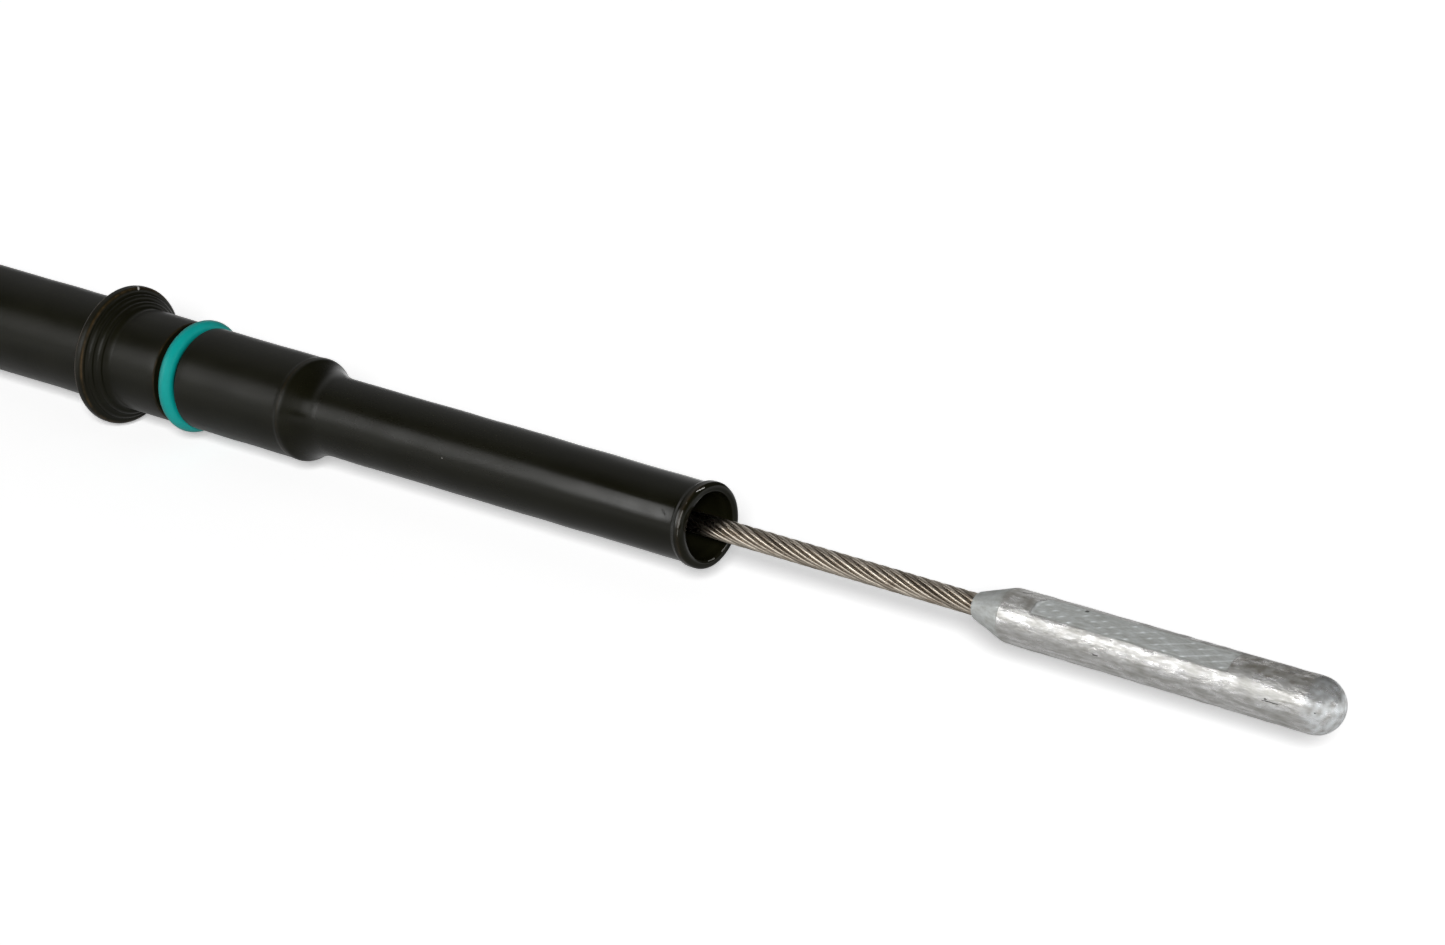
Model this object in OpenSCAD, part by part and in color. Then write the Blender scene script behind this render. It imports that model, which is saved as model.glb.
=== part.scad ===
// Engine oil dipstick in its guide tube. The tube is one formed piece of steel: a cup for the
// handle, a plain run, a rolled flange and a grooved spigot that seat in the engine block, and a
// drawn-down nose. The dipstick is a finger ring, a crimped wire rope and a cast gauge tip.
// +X runs along the tube towards the gauge tip and +Z is up. The origin lies on the tube's axis,
// in the plane of the flange face that seats on the block.

/* [Guide tube] */
// Outside diameter of the tube and of its spigot
tube_d = 12; // [11.6:0.1:13]
// Thickness of the tube's wall
tube_wall = 1; // [0.8:0.1:1.1]
// From the flange's seat back to the rim of the cup
upper_len = 170; // [150:5:400]
// From the flange's seat to the start of the shoulder
spigot_len = 29.7; // [26:0.1:45]
// Length of the shoulder that draws the spigot down to the nose
shoulder_len = 5; // [3.5:0.1:8]
// Share of the shoulder's curve that its convex crown takes
shoulder_crown = 0.13; // [0.08:0.01:0.5]
// Outside diameter of the nose
nose_d = 9.2; // [8.9:0.1:9.8]
// From the start of the shoulder to the mouth
nose_len = 61.1; // [40:0.1:120]
// Outside diameter of the rolled lip round the mouth
lip_d = 9.9; // [9.85:0.05:10.4]
// Bore of the mouth
lip_bore = 7.8; // [7.6:0.1:8]
// Length of the lip's flare
lip_len = 1.9; // [1.5:0.1:4]
// Rounding of the lip's edge
lip_round = 0.45; // [0.3:0.05:0.5]

/* [Flange] */
// Diameter of the flange
flange_d = 16.5; // [16:0.1:20]
// Thickness of the flange
flange_t = 1.4; // [1.2:0.1:2.5]
// Rounding of the flange's rim
flange_round = 0.5; // [0.3:0.05:0.55]
// Diameter of the wide ridge rolled on the flange's seat
ridge_d = 14.8; // [14.4:0.1:15]
// Height of the wide ridge
ridge_h = 0.7; // [0.5:0.1:1]
// Diameter of the narrow ridge at the root of the spigot
root_ridge_d = 13.4; // [13.4:0.1:13.8]
// Height of both ridges together
root_ridge_h = 1.5; // [1.3:0.1:2]
// Rounding of the ridges and of the seal groove's edges
ridge_round = 0.25; // [0.15:0.05:0.3]

/* [Spigot seal] */
// Thickness of the seal's round section
seal_section = 1.8; // [1.7:0.05:2.1]
// How far the seal stands proud of the spigot
seal_stand = 0.65; // [0.45:0.05:0.7]
// From the flange's seat to the middle of the seal's groove
groove_x = 11.6; // [7:0.1:18]
// Width of the seal's groove
groove_w = 3.8; // [2.4:0.1:4.2]

/* [Cup for the handle] */
// Outside diameter of the cup
cup_d = 15; // [14.5:0.1:16]
// Depth of the cup's parallel bore, from its rim
cup_depth = 22; // [21:0.5:30]
// Length of the blend between the cup and the tube
cup_blend = 5; // [4:0.5:8]
// Diameter of the cup's flared rim
cup_rim_d = 16.5; // [16.2:0.1:18]
// Length of the flare at the cup's rim
cup_flare = 1.6; // [1.2:0.1:2.4]
// How far the rim's bore opens out for the handle's seals
cup_lead = 0.6; // [0.3:0.1:0.7]

/* [Mounting bracket] */
// From the flange's seat back to the middle of the bracket
bracket_x = 64; // [60:1:110]
// Width of the bracket's root under the tube
bracket_w = 26; // [24:1:34]
// Thickness of the bracket's plate
bracket_t = 3; // [2:0.5:4]
// How far the root reaches past the tube's axis, away from the ear
bracket_back = 9; // [8:0.5:12]
// From the tube's axis to the middle of the bolt hole
ear_reach = 18; // [17:0.5:30]
// Radius of the ear round the bolt hole
ear_r = 9; // [7:0.5:10]
// Diameter of the bolt hole
bolt_hole_d = 6.6; // [5.5:0.1:8.4]
// Rounding of the root's corners
bracket_round = 3; // [1:0.5:5]
// Length of the weld beads along the tube
weld_len = 20; // [12:1:22]
// Width of a weld bead on the plate, from the tube's axis
weld_reach = 5.2; // [4.8:0.1:5.6]
// Height of a weld bead up the tube's side
weld_h = 1.9; // [1.5:0.1:2.2]

/* [Handle] */
// Clearance of the plug in the cup's bore, on the radius
plug_gap = 0.25; // [0.15:0.05:0.4]
// Length of the plug that goes into the cup
plug_len = 18; // [17:0.5:20]
// Diameter of the collar that stops on the cup's rim
collar_d = 17.5; // [17:0.1:20]
// Thickness of the collar
collar_t = 3; // [2:0.5:5]
// Length of the neck between the collar and the finger ring
neck_len = 9; // [8:0.5:14]
// Diameter of the neck at the collar
neck_d = 13; // [12:0.5:15]
// Length of the bell that blends the collar into the legs
bell_len = 5; // [4:0.5:7]
// Diameter of the finger ring at the middle of its section
ring_d = 28; // [26:0.5:36]
// Thickness of the finger ring's round section
ring_section = 6.5; // [6:0.1:7.5]
// Thickness of the two legs where they leave the neck
leg_d = 7; // [6.5:0.1:7.5]
// Thickness of the web between the legs
web_t = 2.6; // [2:0.1:4]

/* [Handle seals] */
// Thickness of the handle seals' round section
plug_seal_section = 2; // [1.8:0.05:2.1]
// Running clearance of the handle seals in the cup and on the plug, on the radius
seal_clear = 0.05; // [0.02:0.01:0.1]
// From the cup's rim to the middle of the outer seal
plug_seal_x = 5; // [4:0.1:6]
// Spacing of the two seals
plug_seal_pitch = 6.5; // [5:0.1:7.5]
// Width of each seal's groove in the plug
plug_groove_w = 2.5; // [2.3:0.1:3]

/* [Crimp sleeve] */
// Outside diameter of the sleeve
sleeve_d = 5; // [4.4:0.1:5.4]
// How deep the sleeve sits in the handle, from the cup's rim outwards
sleeve_root = 5; // [3:0.5:6]
// How far the sleeve stands out of the plug
sleeve_out = 14; // [10:0.5:20]
// Number of rings crimped into the sleeve
crimp_count = 3; // [1:1:4]
// Spacing of the crimped rings
crimp_pitch = 3.6; // [3:0.1:4]
// Depth of the crimped rings
crimp_depth = 0.35; // [0.1:0.05:0.5]

/* [Wire rope] */
// Diameter of one wire; five of them side by side make the rope's diameter
wire_d = 0.5; // [0.4:0.02:0.54]
// Length of rope that shows between the nose's mouth and the gauge tip
rope_out = 38.3; // [20:0.1:80]
// Depth of the rope inside the gauge tip
rope_in_tip = 18; // [12:0.5:30]

/* [Gauge tip] */
// Diameter of the tip where its cone ends
tip_d = 6.13; // [5.6:0.01:6.3]
// Diameter of the tip at its dome
tip_dome_d = 6.27; // [5.8:0.01:6.5]
// Length of the tip, cone and dome included
tip_len = 48.1; // [44:0.1:80]
// Length of the cone on the rope's side
tip_cone_len = 4.7; // [3.5:0.1:10]
// Diameter of the cone's blunt end
tip_small_d = 3.2; // [3.1:0.1:4.5]
// From the cone's blunt end to the hatched window
window_x = 8.8; // [8:0.1:14]
// Length of the hatched window
window_len = 26.3; // [15:0.1:28]
// Depth of the window's flat below the tip's round side
window_depth = 0.3; // [0.15:0.01:0.5]
// Turn of the window about the axis, from the top towards the ear's side
window_turn = 26; // [0:1:360]

/* [Hidden] */
$fn = 96;

// Fits and small working values
collar_gap = 0.1;      // the collar's running gap off the cup's rim
cut_past = 1;          // how far a cutter runs past the face it opens
blend_steps = 8;       // straight steps in each arc of a blend
round_steps = 5;       // straight steps in a quarter round
ear_steps = 28;        // straight steps round the bracket's ear
weld_start = 1.5;      // where a weld bead begins, from the tube's axis
crimp_flat = 1.2;      // width of a crimped ring at its bottom

// Radii and places along the axis that follow from the sizes above
tube_r = tube_d / 2;
bore_r = tube_r - tube_wall;
nose_r = nose_d / 2;
nose_bore_r = nose_r - tube_wall;
mouth_x = spigot_len + nose_len;
lip_r = lip_d / 2;
groove_r = tube_r + seal_stand - seal_section;
bead_r = groove_r - tube_wall;
rim_x = -upper_len;
cup_r = cup_d / 2;
cup_bore_r = cup_r - tube_wall;
cup_end_x = rim_x + cup_depth;
plug_r = cup_bore_r - plug_gap;
plug_seal_r = cup_bore_r - seal_clear - plug_seal_section / 2;
plug_groove_r = plug_seal_r - plug_seal_section / 2 - seal_clear;
plug_seals = [rim_x + plug_seal_x, rim_x + plug_seal_x + plug_seal_pitch];
plug_end_x = rim_x + plug_len;
collar_x = rim_x - collar_gap;
collar_back_x = collar_x - collar_t;
sleeve_start_x = rim_x - sleeve_root;
sleeve_end_x = plug_end_x + sleeve_out;
rope_r = 2.5 * wire_d;
tip_x = mouth_x + rope_out;
tip_end_x = tip_x + tip_len;
ring_x = collar_back_x - neck_len - ring_d / 2;

// A part of a circle in a half profile, where a point is [radius, place along the axis]
function arc(centre, r, from, to, steps) =
    [for (i = [0:steps])
        let (a = from + (to - from) * i / steps) centre + r * [cos(a), sin(a)]];

// A tube's blend from one radius to another: two arcs that leave and arrive parallel to the
// axis and meet at one slope. The first arc takes the given share of the curve.
function blend(start, end, share) =
    let (rise = end[0] - start[0], run = end[1] - start[1],
         up = sign(rise), along = sign(run),
         slope = 2 * atan(abs(rise / run)),
         whole = abs(run) / sin(slope),
         r1 = share * whole, r2 = (1 - share) * whole)
    concat(
        [for (i = [0:blend_steps]) let (a = slope * i / blend_steps)
            start + [up * r1 * (1 - cos(a)), along * r1 * sin(a)]],
        [for (i = [blend_steps - 1:-1:0]) let (a = slope * i / blend_steps)
            end - [up * r2 * (1 - cos(a)), along * r2 * sin(a)]]);

// Turns a half profile of [radius, place along the axis] into a solid round the X axis
module turned(profile) {
    rotate([90, 0, 90]) rotate_extrude() polygon(profile);
}

// A straight cylinder or cone along the X axis
module rod(from_x, to_x, r1, r2) {
    translate([from_x, 0, 0]) rotate([0, 90, 0]) cylinder(h = to_x - from_x, r1 = r1, r2 = r2);
}

// A ring of round section about the X axis
module o_ring(x, section, centre_r) {
    translate([x, 0, 0]) rotate([0, 90, 0])
        rotate_extrude() translate([centre_r, 0]) circle(d = section);
}

// The tube's outside from the mouth back to the cup's rim
function tube_outside() = let (
    ridge_r = ridge_d / 2, root_r = root_ridge_d / 2, rr = ridge_round,
    flange_r = flange_d / 2, fr = flange_round,
    groove_front = groove_x + groove_w / 2, groove_back = groove_x - groove_w / 2)
    concat(
        arc([lip_r - lip_round, mouth_x - lip_round], lip_round, 90, 0, round_steps),
        blend([lip_r, mouth_x - 2 * lip_round], [nose_r, mouth_x - lip_len], 0.5),
        blend([nose_r, spigot_len + shoulder_len], [tube_r, spigot_len], 1 - shoulder_crown),
        arc([tube_r - rr, groove_front + rr], rr, 0, -90, round_steps),
        [[groove_r, groove_front], [groove_r, groove_back]],
        arc([tube_r - rr, groove_back - rr], rr, 90, 0, round_steps),
        [[tube_r, root_ridge_h]],
        arc([root_r - rr, root_ridge_h - rr], rr, 90, 0, round_steps),
        [[root_r, ridge_h]],
        arc([ridge_r - rr, ridge_h - rr], rr, 90, 0, round_steps),
        [[ridge_r, 0]],
        arc([flange_r - fr, -fr], fr, 90, 0, round_steps),
        arc([flange_r - fr, fr - flange_t], fr, 0, -90, round_steps),
        arc([tube_r + fr, -flange_t - fr], fr, 90, 180, round_steps),
        blend([tube_r, cup_end_x + cup_blend], [cup_r, cup_end_x], 0.5),
        blend([cup_r, rim_x + tube_wall + cup_flare], [cup_rim_d / 2, rim_x + tube_wall / 2], 0.5),
        [[cup_rim_d / 2, rim_x]]);

// The tube's bore from the cup's rim to the mouth, one wall inside its outside
function tube_inside() = let (
    bead_front = groove_x + groove_w / 2 + tube_wall,
    bead_back = groove_x - groove_w / 2 - tube_wall)
    concat(
        [[cup_bore_r + cup_lead, rim_x], [cup_bore_r, rim_x + cup_flare]],
        blend([cup_bore_r, cup_end_x], [bore_r, cup_end_x + cup_blend], 0.5),
        blend([bore_r, bead_back - tube_wall], [bead_r, bead_back + tube_wall / 2], 0.5),
        blend([bead_r, bead_front - tube_wall / 2], [bore_r, bead_front + tube_wall], 0.5),
        blend([bore_r, spigot_len], [nose_bore_r, spigot_len + shoulder_len], shoulder_crown),
        blend([nose_bore_r, mouth_x - lip_len], [lip_bore / 2, mouth_x - lip_round], 0.5),
        [[lip_bore / 2, mouth_x]]);

module guide_tube() {
    color("#242422") turned(concat(tube_outside(), tube_inside()));
}

module spigot_seal() {
    color("#129088") o_ring(groove_x, seal_section, groove_r + seal_section / 2);
}

// The plate's outline seen from above: a square root with two round corners, and straight
// sides that run from it to touch the round ear
module bracket_outline() {
    half = bracket_w / 2;
    corner = [half - bracket_round, bracket_back - bracket_round];
    reach = [half, ear_reach - tube_r];
    touch = atan2(reach[1], reach[0]) - acos(ear_r / norm(reach));
    translate([-bracket_x, 0]) polygon(concat(
        arc(corner, bracket_round, 0, 90, round_steps),
        arc([-corner[0], corner[1]], bracket_round, 90, 180, round_steps),
        [[-half, -tube_r]],
        arc([0, -ear_reach], ear_r, 180 - touch, 360 + touch, ear_steps),
        [[half, -tube_r]]));
}

module mounting_bracket() {
    color("#2b2b29") difference() {
        translate([0, 0, -tube_r - bracket_t]) linear_extrude(bracket_t) bracket_outline();
        translate([-bracket_x, -ear_reach, -tube_r - bracket_t - cut_past])
            cylinder(h = bracket_t + 2 * cut_past, d = bolt_hole_d);
    }
}

// Two fillet beads that fill the corners between the tube and the plate
module bracket_welds() {
    bead = [[weld_start, 0], [weld_reach, 0], [weld_reach - 0.25 * weld_h, 0.65 * weld_h],
            [weld_reach - weld_h, 1.1 * weld_h], [weld_start, 0.5 * weld_h]];
    color("#3a3a37") for (side = [0, 1]) mirror([0, side, 0]) difference() {
        translate([-bracket_x - weld_len / 2, 0, -tube_r])
            rotate([90, 0, 90]) linear_extrude(weld_len) polygon(bead);
        rod(-bracket_x - weld_len / 2 - cut_past, -bracket_x + weld_len / 2 + cut_past,
            tube_r, tube_r);
    }
}

// The plug's outside, with its two seal grooves, and the collar behind it
function plug_profile() = let (lead = 1, hw = plug_groove_w / 2, collar_round = 0.8)
    concat(
        [[0, plug_end_x], [plug_r - lead, plug_end_x], [plug_r, plug_end_x - lead]],
        [for (x = [plug_seals[1], plug_seals[0]])
            each [[plug_r, x + hw], [plug_groove_r, x + hw],
                  [plug_groove_r, x - hw], [plug_r, x - hw]]],
        [[plug_r, collar_x]],
        arc([collar_d / 2 - collar_round, collar_x - collar_round], collar_round, 90, 0,
            round_steps),
        arc([collar_d / 2 - collar_round, collar_back_x + collar_round], collar_round, 0, -90,
            round_steps),
        blend([neck_d / 2, collar_back_x], [leg_d / 2, collar_back_x - bell_len], 0.5),
        [[0, collar_back_x - bell_len]]);

// The finger ring, its two legs and the thin web between them, lying flat
module finger_ring() {
    ring_r = ring_d / 2;
    root = [collar_back_x - leg_d / 4, ring_section / 4];
    span = [root[0] - ring_x, root[1]];
    touch = acos(ring_r / norm(span)) + atan2(span[1], span[0]);
    foot = [ring_x + ring_r * cos(touch), ring_r * sin(touch)];
    leg = foot - root;
    translate([ring_x, 0, 0]) rotate_extrude()
        translate([ring_r, 0]) circle(d = ring_section);
    for (side = [0, 1]) mirror([0, side, 0])
        translate([root[0], root[1], 0]) rotate([0, 0, atan2(leg[1], leg[0])])
            rotate([0, 90, 0]) cylinder(h = norm(leg), d1 = leg_d, d2 = ring_section - 0.6);
    translate([0, 0, -web_t / 2]) linear_extrude(web_t) difference() {
        polygon([[root[0], root[1]], foot, [foot[0], -foot[1]], [root[0], -root[1]]]);
        translate([ring_x, 0]) circle(r = ring_r);
    }
}

module handle() {
    color("#e0a81c") difference() {
        union() {
            turned(plug_profile());
            finger_ring();
        }
        rod(sleeve_start_x, plug_end_x + cut_past, sleeve_d / 2, sleeve_d / 2);
    }
}

module outer_handle_seal() {
    color("#1b1b1b") o_ring(plug_seals[0], plug_seal_section, plug_seal_r);
}

module inner_handle_seal() {
    color("#1b1b1b") o_ring(plug_seals[1], plug_seal_section, plug_seal_r);
}

// The sleeve's outside between its ends, with the crimped rings sunk in the part that shows
function crimped_outside() = let (
    r = sleeve_d / 2, half = crimp_flat / 2,
    first = sleeve_end_x - sleeve_out / 2 - crimp_pitch * (crimp_count - 1) / 2)
    [for (i = [0:crimp_count - 1]) let (x = first + i * crimp_pitch)
        each [[r, x - half - crimp_depth], [r - crimp_depth, x - half],
              [r - crimp_depth, x + half], [r, x + half + crimp_depth]]];

module crimp_sleeve() {
    r = sleeve_d / 2;
    edge = 0.4;
    color("#a9a9a4") turned(concat(
        [[rope_r, sleeve_start_x], [r, sleeve_start_x]],
        crimped_outside(),
        [[r, sleeve_end_x - edge], [r - edge, sleeve_end_x], [rope_r, sleeve_end_x]]));
}

// The rope is a strand of one core wire, six wires round it and twelve outer wires. Each layer
// is a plain solid that fills the space its wires wind in.
module rope_layer(inner_r, outer_r) {
    difference() {
        rod(sleeve_start_x, tip_x + rope_in_tip, outer_r, outer_r);
        if (inner_r > 0)
            rod(sleeve_start_x - cut_past, tip_x + rope_in_tip + cut_past, inner_r, inner_r);
    }
}

module rope_core_wire() {
    color("#8f857b") rope_layer(0, wire_d / 2);
}

module rope_inner_wires() {
    color("#8f857b") rope_layer(wire_d / 2, 1.5 * wire_d);
}

module rope_outer_wires() {
    color("#9a8f84") rope_layer(1.5 * wire_d, rope_r);
}

module gauge_tip() {
    dome_r = tip_dome_d / 2;
    flat_r = tip_d / 2 - window_depth;
    color("#a8a8a6") difference() {
        turned(concat(
            [[0, tip_x], [tip_small_d / 2, tip_x], [tip_d / 2, tip_x + tip_cone_len]],
            arc([0, tip_end_x - dome_r], dome_r, 0, 90, 2 * blend_steps)));
        rod(tip_x - cut_past, tip_x + rope_in_tip, rope_r, rope_r);
        rotate([window_turn, 0, 0]) translate([tip_x + window_x, -tip_dome_d, flat_r])
            cube([window_len, 2 * tip_dome_d, tip_dome_d]);
    }
}

guide_tube();
spigot_seal();
mounting_bracket();
bracket_welds();
handle();
outer_handle_seal();
inner_handle_seal();
crimp_sleeve();
rope_core_wire();
rope_inner_wires();
rope_outer_wires();
gauge_tip();
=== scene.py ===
# %% [markdown]
# # An oil dipstick in its guide tube
# A guide tube is one piece of steel tube. Rollers and dies form a flange, a seal groove and a thin
# nose on it, and the dipstick runs inside: a finger ring, a wire rope and a cast gauge tip. Nearly
# everything here is round, so nearly everything can be made by turning an outline about one axis.
# This first step loads the solids, which fix every size and place, and keeps their box.

import bmesh
import bpy
import numpy as np
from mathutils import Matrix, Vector


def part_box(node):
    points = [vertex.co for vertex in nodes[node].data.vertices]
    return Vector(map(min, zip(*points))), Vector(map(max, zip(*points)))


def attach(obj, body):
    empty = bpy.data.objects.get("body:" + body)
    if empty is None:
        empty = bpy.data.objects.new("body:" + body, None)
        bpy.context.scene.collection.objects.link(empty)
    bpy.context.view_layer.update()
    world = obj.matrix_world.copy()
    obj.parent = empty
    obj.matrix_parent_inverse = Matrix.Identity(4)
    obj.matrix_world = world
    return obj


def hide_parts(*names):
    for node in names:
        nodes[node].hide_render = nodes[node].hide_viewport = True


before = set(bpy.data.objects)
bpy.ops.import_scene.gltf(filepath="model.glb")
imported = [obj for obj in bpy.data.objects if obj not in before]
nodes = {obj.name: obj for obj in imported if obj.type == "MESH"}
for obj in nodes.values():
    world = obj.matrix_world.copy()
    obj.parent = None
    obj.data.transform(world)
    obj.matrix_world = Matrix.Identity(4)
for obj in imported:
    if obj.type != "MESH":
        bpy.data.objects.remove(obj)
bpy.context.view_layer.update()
MM = 0.001

# %% [markdown]
# The pieces lie along +X, from the finger ring to the tip of the gauge. Each solid's box gives the
# places where it starts and ends and how far it stands from the axis. Taking them from the boxes,
# and not typing them again, keeps the looks seated on the solids.

# %% Places that come from the solids
tube_low, tube_high = (np.array(p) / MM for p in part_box("guide_tube"))
seal_low, seal_high = (np.array(p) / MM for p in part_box("spigot_seal"))
rope_low, rope_high = (np.array(p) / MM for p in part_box("rope_outer_wires"))
tip_low, tip_high = (np.array(p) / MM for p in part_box("gauge_tip"))
sleeve_low, sleeve_high = (np.array(p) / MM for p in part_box("crimp_sleeve"))
plate_low, plate_high = (np.array(p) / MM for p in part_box("mounting_bracket"))
weld_low, weld_high = (np.array(p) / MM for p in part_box("bracket_welds"))
mouth_x = tube_high[0]
rim_x = tube_low[0]
flange_r = tube_high[2]
groove_x = (seal_low[0] + seal_high[0]) / 2
seal_section = seal_high[0] - seal_low[0]
seal_r = seal_high[2]
rope_r = rope_high[2]
tip_x, tip_end_x = tip_low[0], tip_high[0]
print(f"Flange seat to mouth {mouth_x:.1f} mm, gauge tip {tip_end_x - tip_x:.1f} mm long")

# %% [markdown]
# ## The camera
# The camera looks down on the pieces from the gauge tip's side, from far away through a long lens,
# so the tube hardly tapers in the picture. It comes first, because every detail is judged through
# it. Its place is worked out from where the mouth of the tube has to lie in the frame: the offset
# from the frame's middle in pixels, over the focal length in pixels, times the distance.

# %% Camera
FRAME_W, FRAME_H = 1445, 945
FOCAL_PX = 7400.0
CAMERA_DISTANCE = 810.5
CAMERA_TURN, CAMERA_RISE = np.radians(41.6), np.radians(18.95)
MOUTH_PX = np.array([710.3, 526.2])
SENSOR_W = 36.0

to_camera = np.array([np.cos(CAMERA_RISE) * np.sin(CAMERA_TURN),
                      -np.cos(CAMERA_RISE) * np.cos(CAMERA_TURN), np.sin(CAMERA_RISE)])
right = np.array([np.cos(CAMERA_TURN), np.sin(CAMERA_TURN), 0.0])
up = np.cross(to_camera, right)
offset_mm = (MOUTH_PX - [FRAME_W / 2, FRAME_H / 2]) / FOCAL_PX * CAMERA_DISTANCE
camera_at = (np.array([mouth_x, 0, 0]) - offset_mm[0] * right + offset_mm[1] * up
             + CAMERA_DISTANCE * to_camera)

camera_data = bpy.data.cameras.new("camera")
camera_data.lens = FOCAL_PX / FRAME_W * SENSOR_W
camera_data.sensor_width = SENSOR_W
camera_data.clip_end = 100.0
camera = bpy.data.objects.new("camera", camera_data)
camera.location = Vector(camera_at * MM)
camera.rotation_euler = Vector(to_camera).to_track_quat("Z", "Y").to_euler()
bpy.context.scene.collection.objects.link(camera)
bpy.context.scene.camera = camera
print(f"Lens {camera_data.lens:.1f} mm, {CAMERA_DISTANCE:.0f} mm from the tube's mouth")

# %% [markdown]
# ## Helpers for surfaces
# A surface is a grid of points: rows along the piece and columns round it. One function turns any
# such grid into faces, and another turns grids into a piece. Whether the faces point outwards is
# measured and not guessed: the volume that they enclose must be positive.


# %% Grids into pieces
def grid_faces(rows, columns, wrap_rows, wrap_columns):
    """Four-sided faces over a grid; a wrapped direction joins its last line to its first."""
    row = np.arange(rows if wrap_rows else rows - 1)[:, None]
    column = np.arange(columns if wrap_columns else columns - 1)[None, :]
    next_row, next_column = (row + 1) % rows, (column + 1) % columns
    corners = [row * columns + column, next_row * columns + column,
               next_row * columns + next_column, row * columns + next_column]
    return np.stack(np.broadcast_arrays(*corners), axis=-1).reshape(-1, 4)


def enclosed(points, faces):
    """Volume inside four-sided faces: the sum of corner . (corner x corner) / 6 per triangle."""
    a, b, c, d = (points[faces[:, i]] for i in range(4))
    return (np.einsum("ij,ij->i", a, np.cross(b, c)).sum()
            + np.einsum("ij,ij->i", a, np.cross(c, d)).sum()) / 6


def place_piece(name, mesh, body, node_names, material):
    """A mesh as a smooth piece that rides on a body and stands for its CAD nodes."""
    mesh.shade_smooth()
    piece = bpy.data.objects.new(name, mesh)
    bpy.context.scene.collection.objects.link(piece)
    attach(piece, body)
    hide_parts(*node_names)
    mesh.materials.append(material)
    print(f"{name}: {len(mesh.polygons)} faces")
    return piece


def make_piece(name, grids, body, node_names, material, slot, **marks):
    """A piece from grids, each (points in mm, wrap_rows, wrap_columns). Every keyword is a
    number per point that the piece's material reads by that name."""
    all_points, all_faces, start = [], [], 0
    for points, wrap_rows, wrap_columns in grids:
        rows, columns = points.shape[:2]
        flat = points.reshape(-1, 3)
        faces = grid_faces(rows, columns, wrap_rows, wrap_columns)
        if enclosed(flat, faces) < 0:
            faces = faces[:, ::-1]
        all_points.append(flat)
        all_faces.append(faces + start)
        start += len(flat)
    mesh = bpy.data.meshes.new(name)
    mesh.from_pydata(np.concatenate(all_points) * MM, [], np.concatenate(all_faces))
    for label, values in marks.items():
        mesh.attributes.new(label, "FLOAT", "POINT").data.foreach_set("value", values.ravel())
    shaped = bmesh.new()
    shaped.from_mesh(mesh)
    bmesh.ops.remove_doubles(shaped, verts=shaped.verts, dist=1e-8)
    shaped.to_mesh(mesh)
    shaped.free()
    return place_piece(name, mesh, body, node_names, material)


# %% Outlines, and outlines carried round
def turned(profile, columns):
    """An outline of [radius, place along X] carried round the X axis: (x, r cos a, r sin a)."""
    angle = np.linspace(0, 2 * np.pi, columns, endpoint=False)
    radius, x = profile[:, :1], profile[:, 1:]
    return np.stack([x + 0 * angle, radius * np.cos(angle), radius * np.sin(angle)], axis=-1)


def arc(centre, r, start, end, steps=6):
    """Part of a circle in an outline: centre + r (cos a, sin a), a in degrees."""
    a = np.radians(np.linspace(start, end, steps + 1))[:, None]
    return np.array(centre) + r * np.concatenate([np.cos(a), np.sin(a)], axis=1)


def blend(start, end, share, steps=12):
    """Two arcs that leave and arrive along the axis; the first takes the given share."""
    start, end = np.array(start, float), np.array(end, float)
    rise, run = end - start
    slope = 2 * np.arctan(abs(rise / run))
    whole = abs(run) / np.sin(slope)
    a = np.linspace(0, slope, steps + 1)[:, None]
    bend = np.concatenate([np.sign(rise) * (1 - np.cos(a)), np.sign(run) * np.sin(a)], axis=1)
    return np.concatenate([start + share * whole * bend,
                           (end - (1 - share) * whole * bend)[-2::-1]])


def refine(profile, longest):
    """The same outline with every straight stretch cut into steps no longer than given."""
    parts = []
    for a, b in zip(profile[:-1], profile[1:]):
        steps = max(1, int(np.ceil(np.linalg.norm(b - a) / longest)))
        parts.append(a + (b - a) * np.arange(steps)[:, None] / steps)
    return np.concatenate(parts + [profile[-1:]])


def on_round(x, r, degrees):
    """A point on a round surface; the angle runs from the top towards the ear's side."""
    a = np.radians(degrees)
    return np.array([x, -r * np.sin(a), r * np.cos(a)])


def lumps(points, size, seed, waves=14):
    """Smooth random swell of about -1 to 1: the mean of sine waves in seeded directions."""
    draw = np.random.default_rng(seed)
    direction = draw.normal(size=(waves, 3))
    direction /= np.linalg.norm(direction, axis=1)[:, None]
    wave = direction * (2 * np.pi / size) * draw.uniform(0.6, 1.5, (waves, 1))
    phase = draw.uniform(0, 2 * np.pi, waves)
    total = np.zeros(points.shape[:-1])
    for k, p in zip(wave, phase):
        total += np.sin(points @ k + p)
    return total / np.sqrt(waves)


def smooth_step(value, start, end):
    """0 before start, 1 after end and an S-shaped rise 3t^2 - 2t^3 between them."""
    t = np.clip((value - start) / (end - start), 0, 1)
    return t * t * (3 - 2 * t)


# %% [markdown]
# ## Finishes
# The effects that several finishes share are node groups: a mottle that runs between two colours,
# and a single mark, such as a nick, a pit or a stain. They read Object coordinates, which are
# metres here because every piece sits at the origin, so a size in a group is a real size.


# %% Node helpers
def new_group(name, inputs, outputs):
    """An empty node group with named inputs (kind, default) and outputs."""
    group = bpy.data.node_groups.new(name, "ShaderNodeTree")
    for label, (kind, value) in inputs.items():
        socket = group.interface.new_socket(label, in_out="INPUT", socket_type=kind)
        socket.default_value = value
    for label, kind in outputs.items():
        group.interface.new_socket(label, in_out="OUTPUT", socket_type=kind)
    return group, group.nodes.new("NodeGroupInput"), group.nodes.new("NodeGroupOutput")


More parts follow.
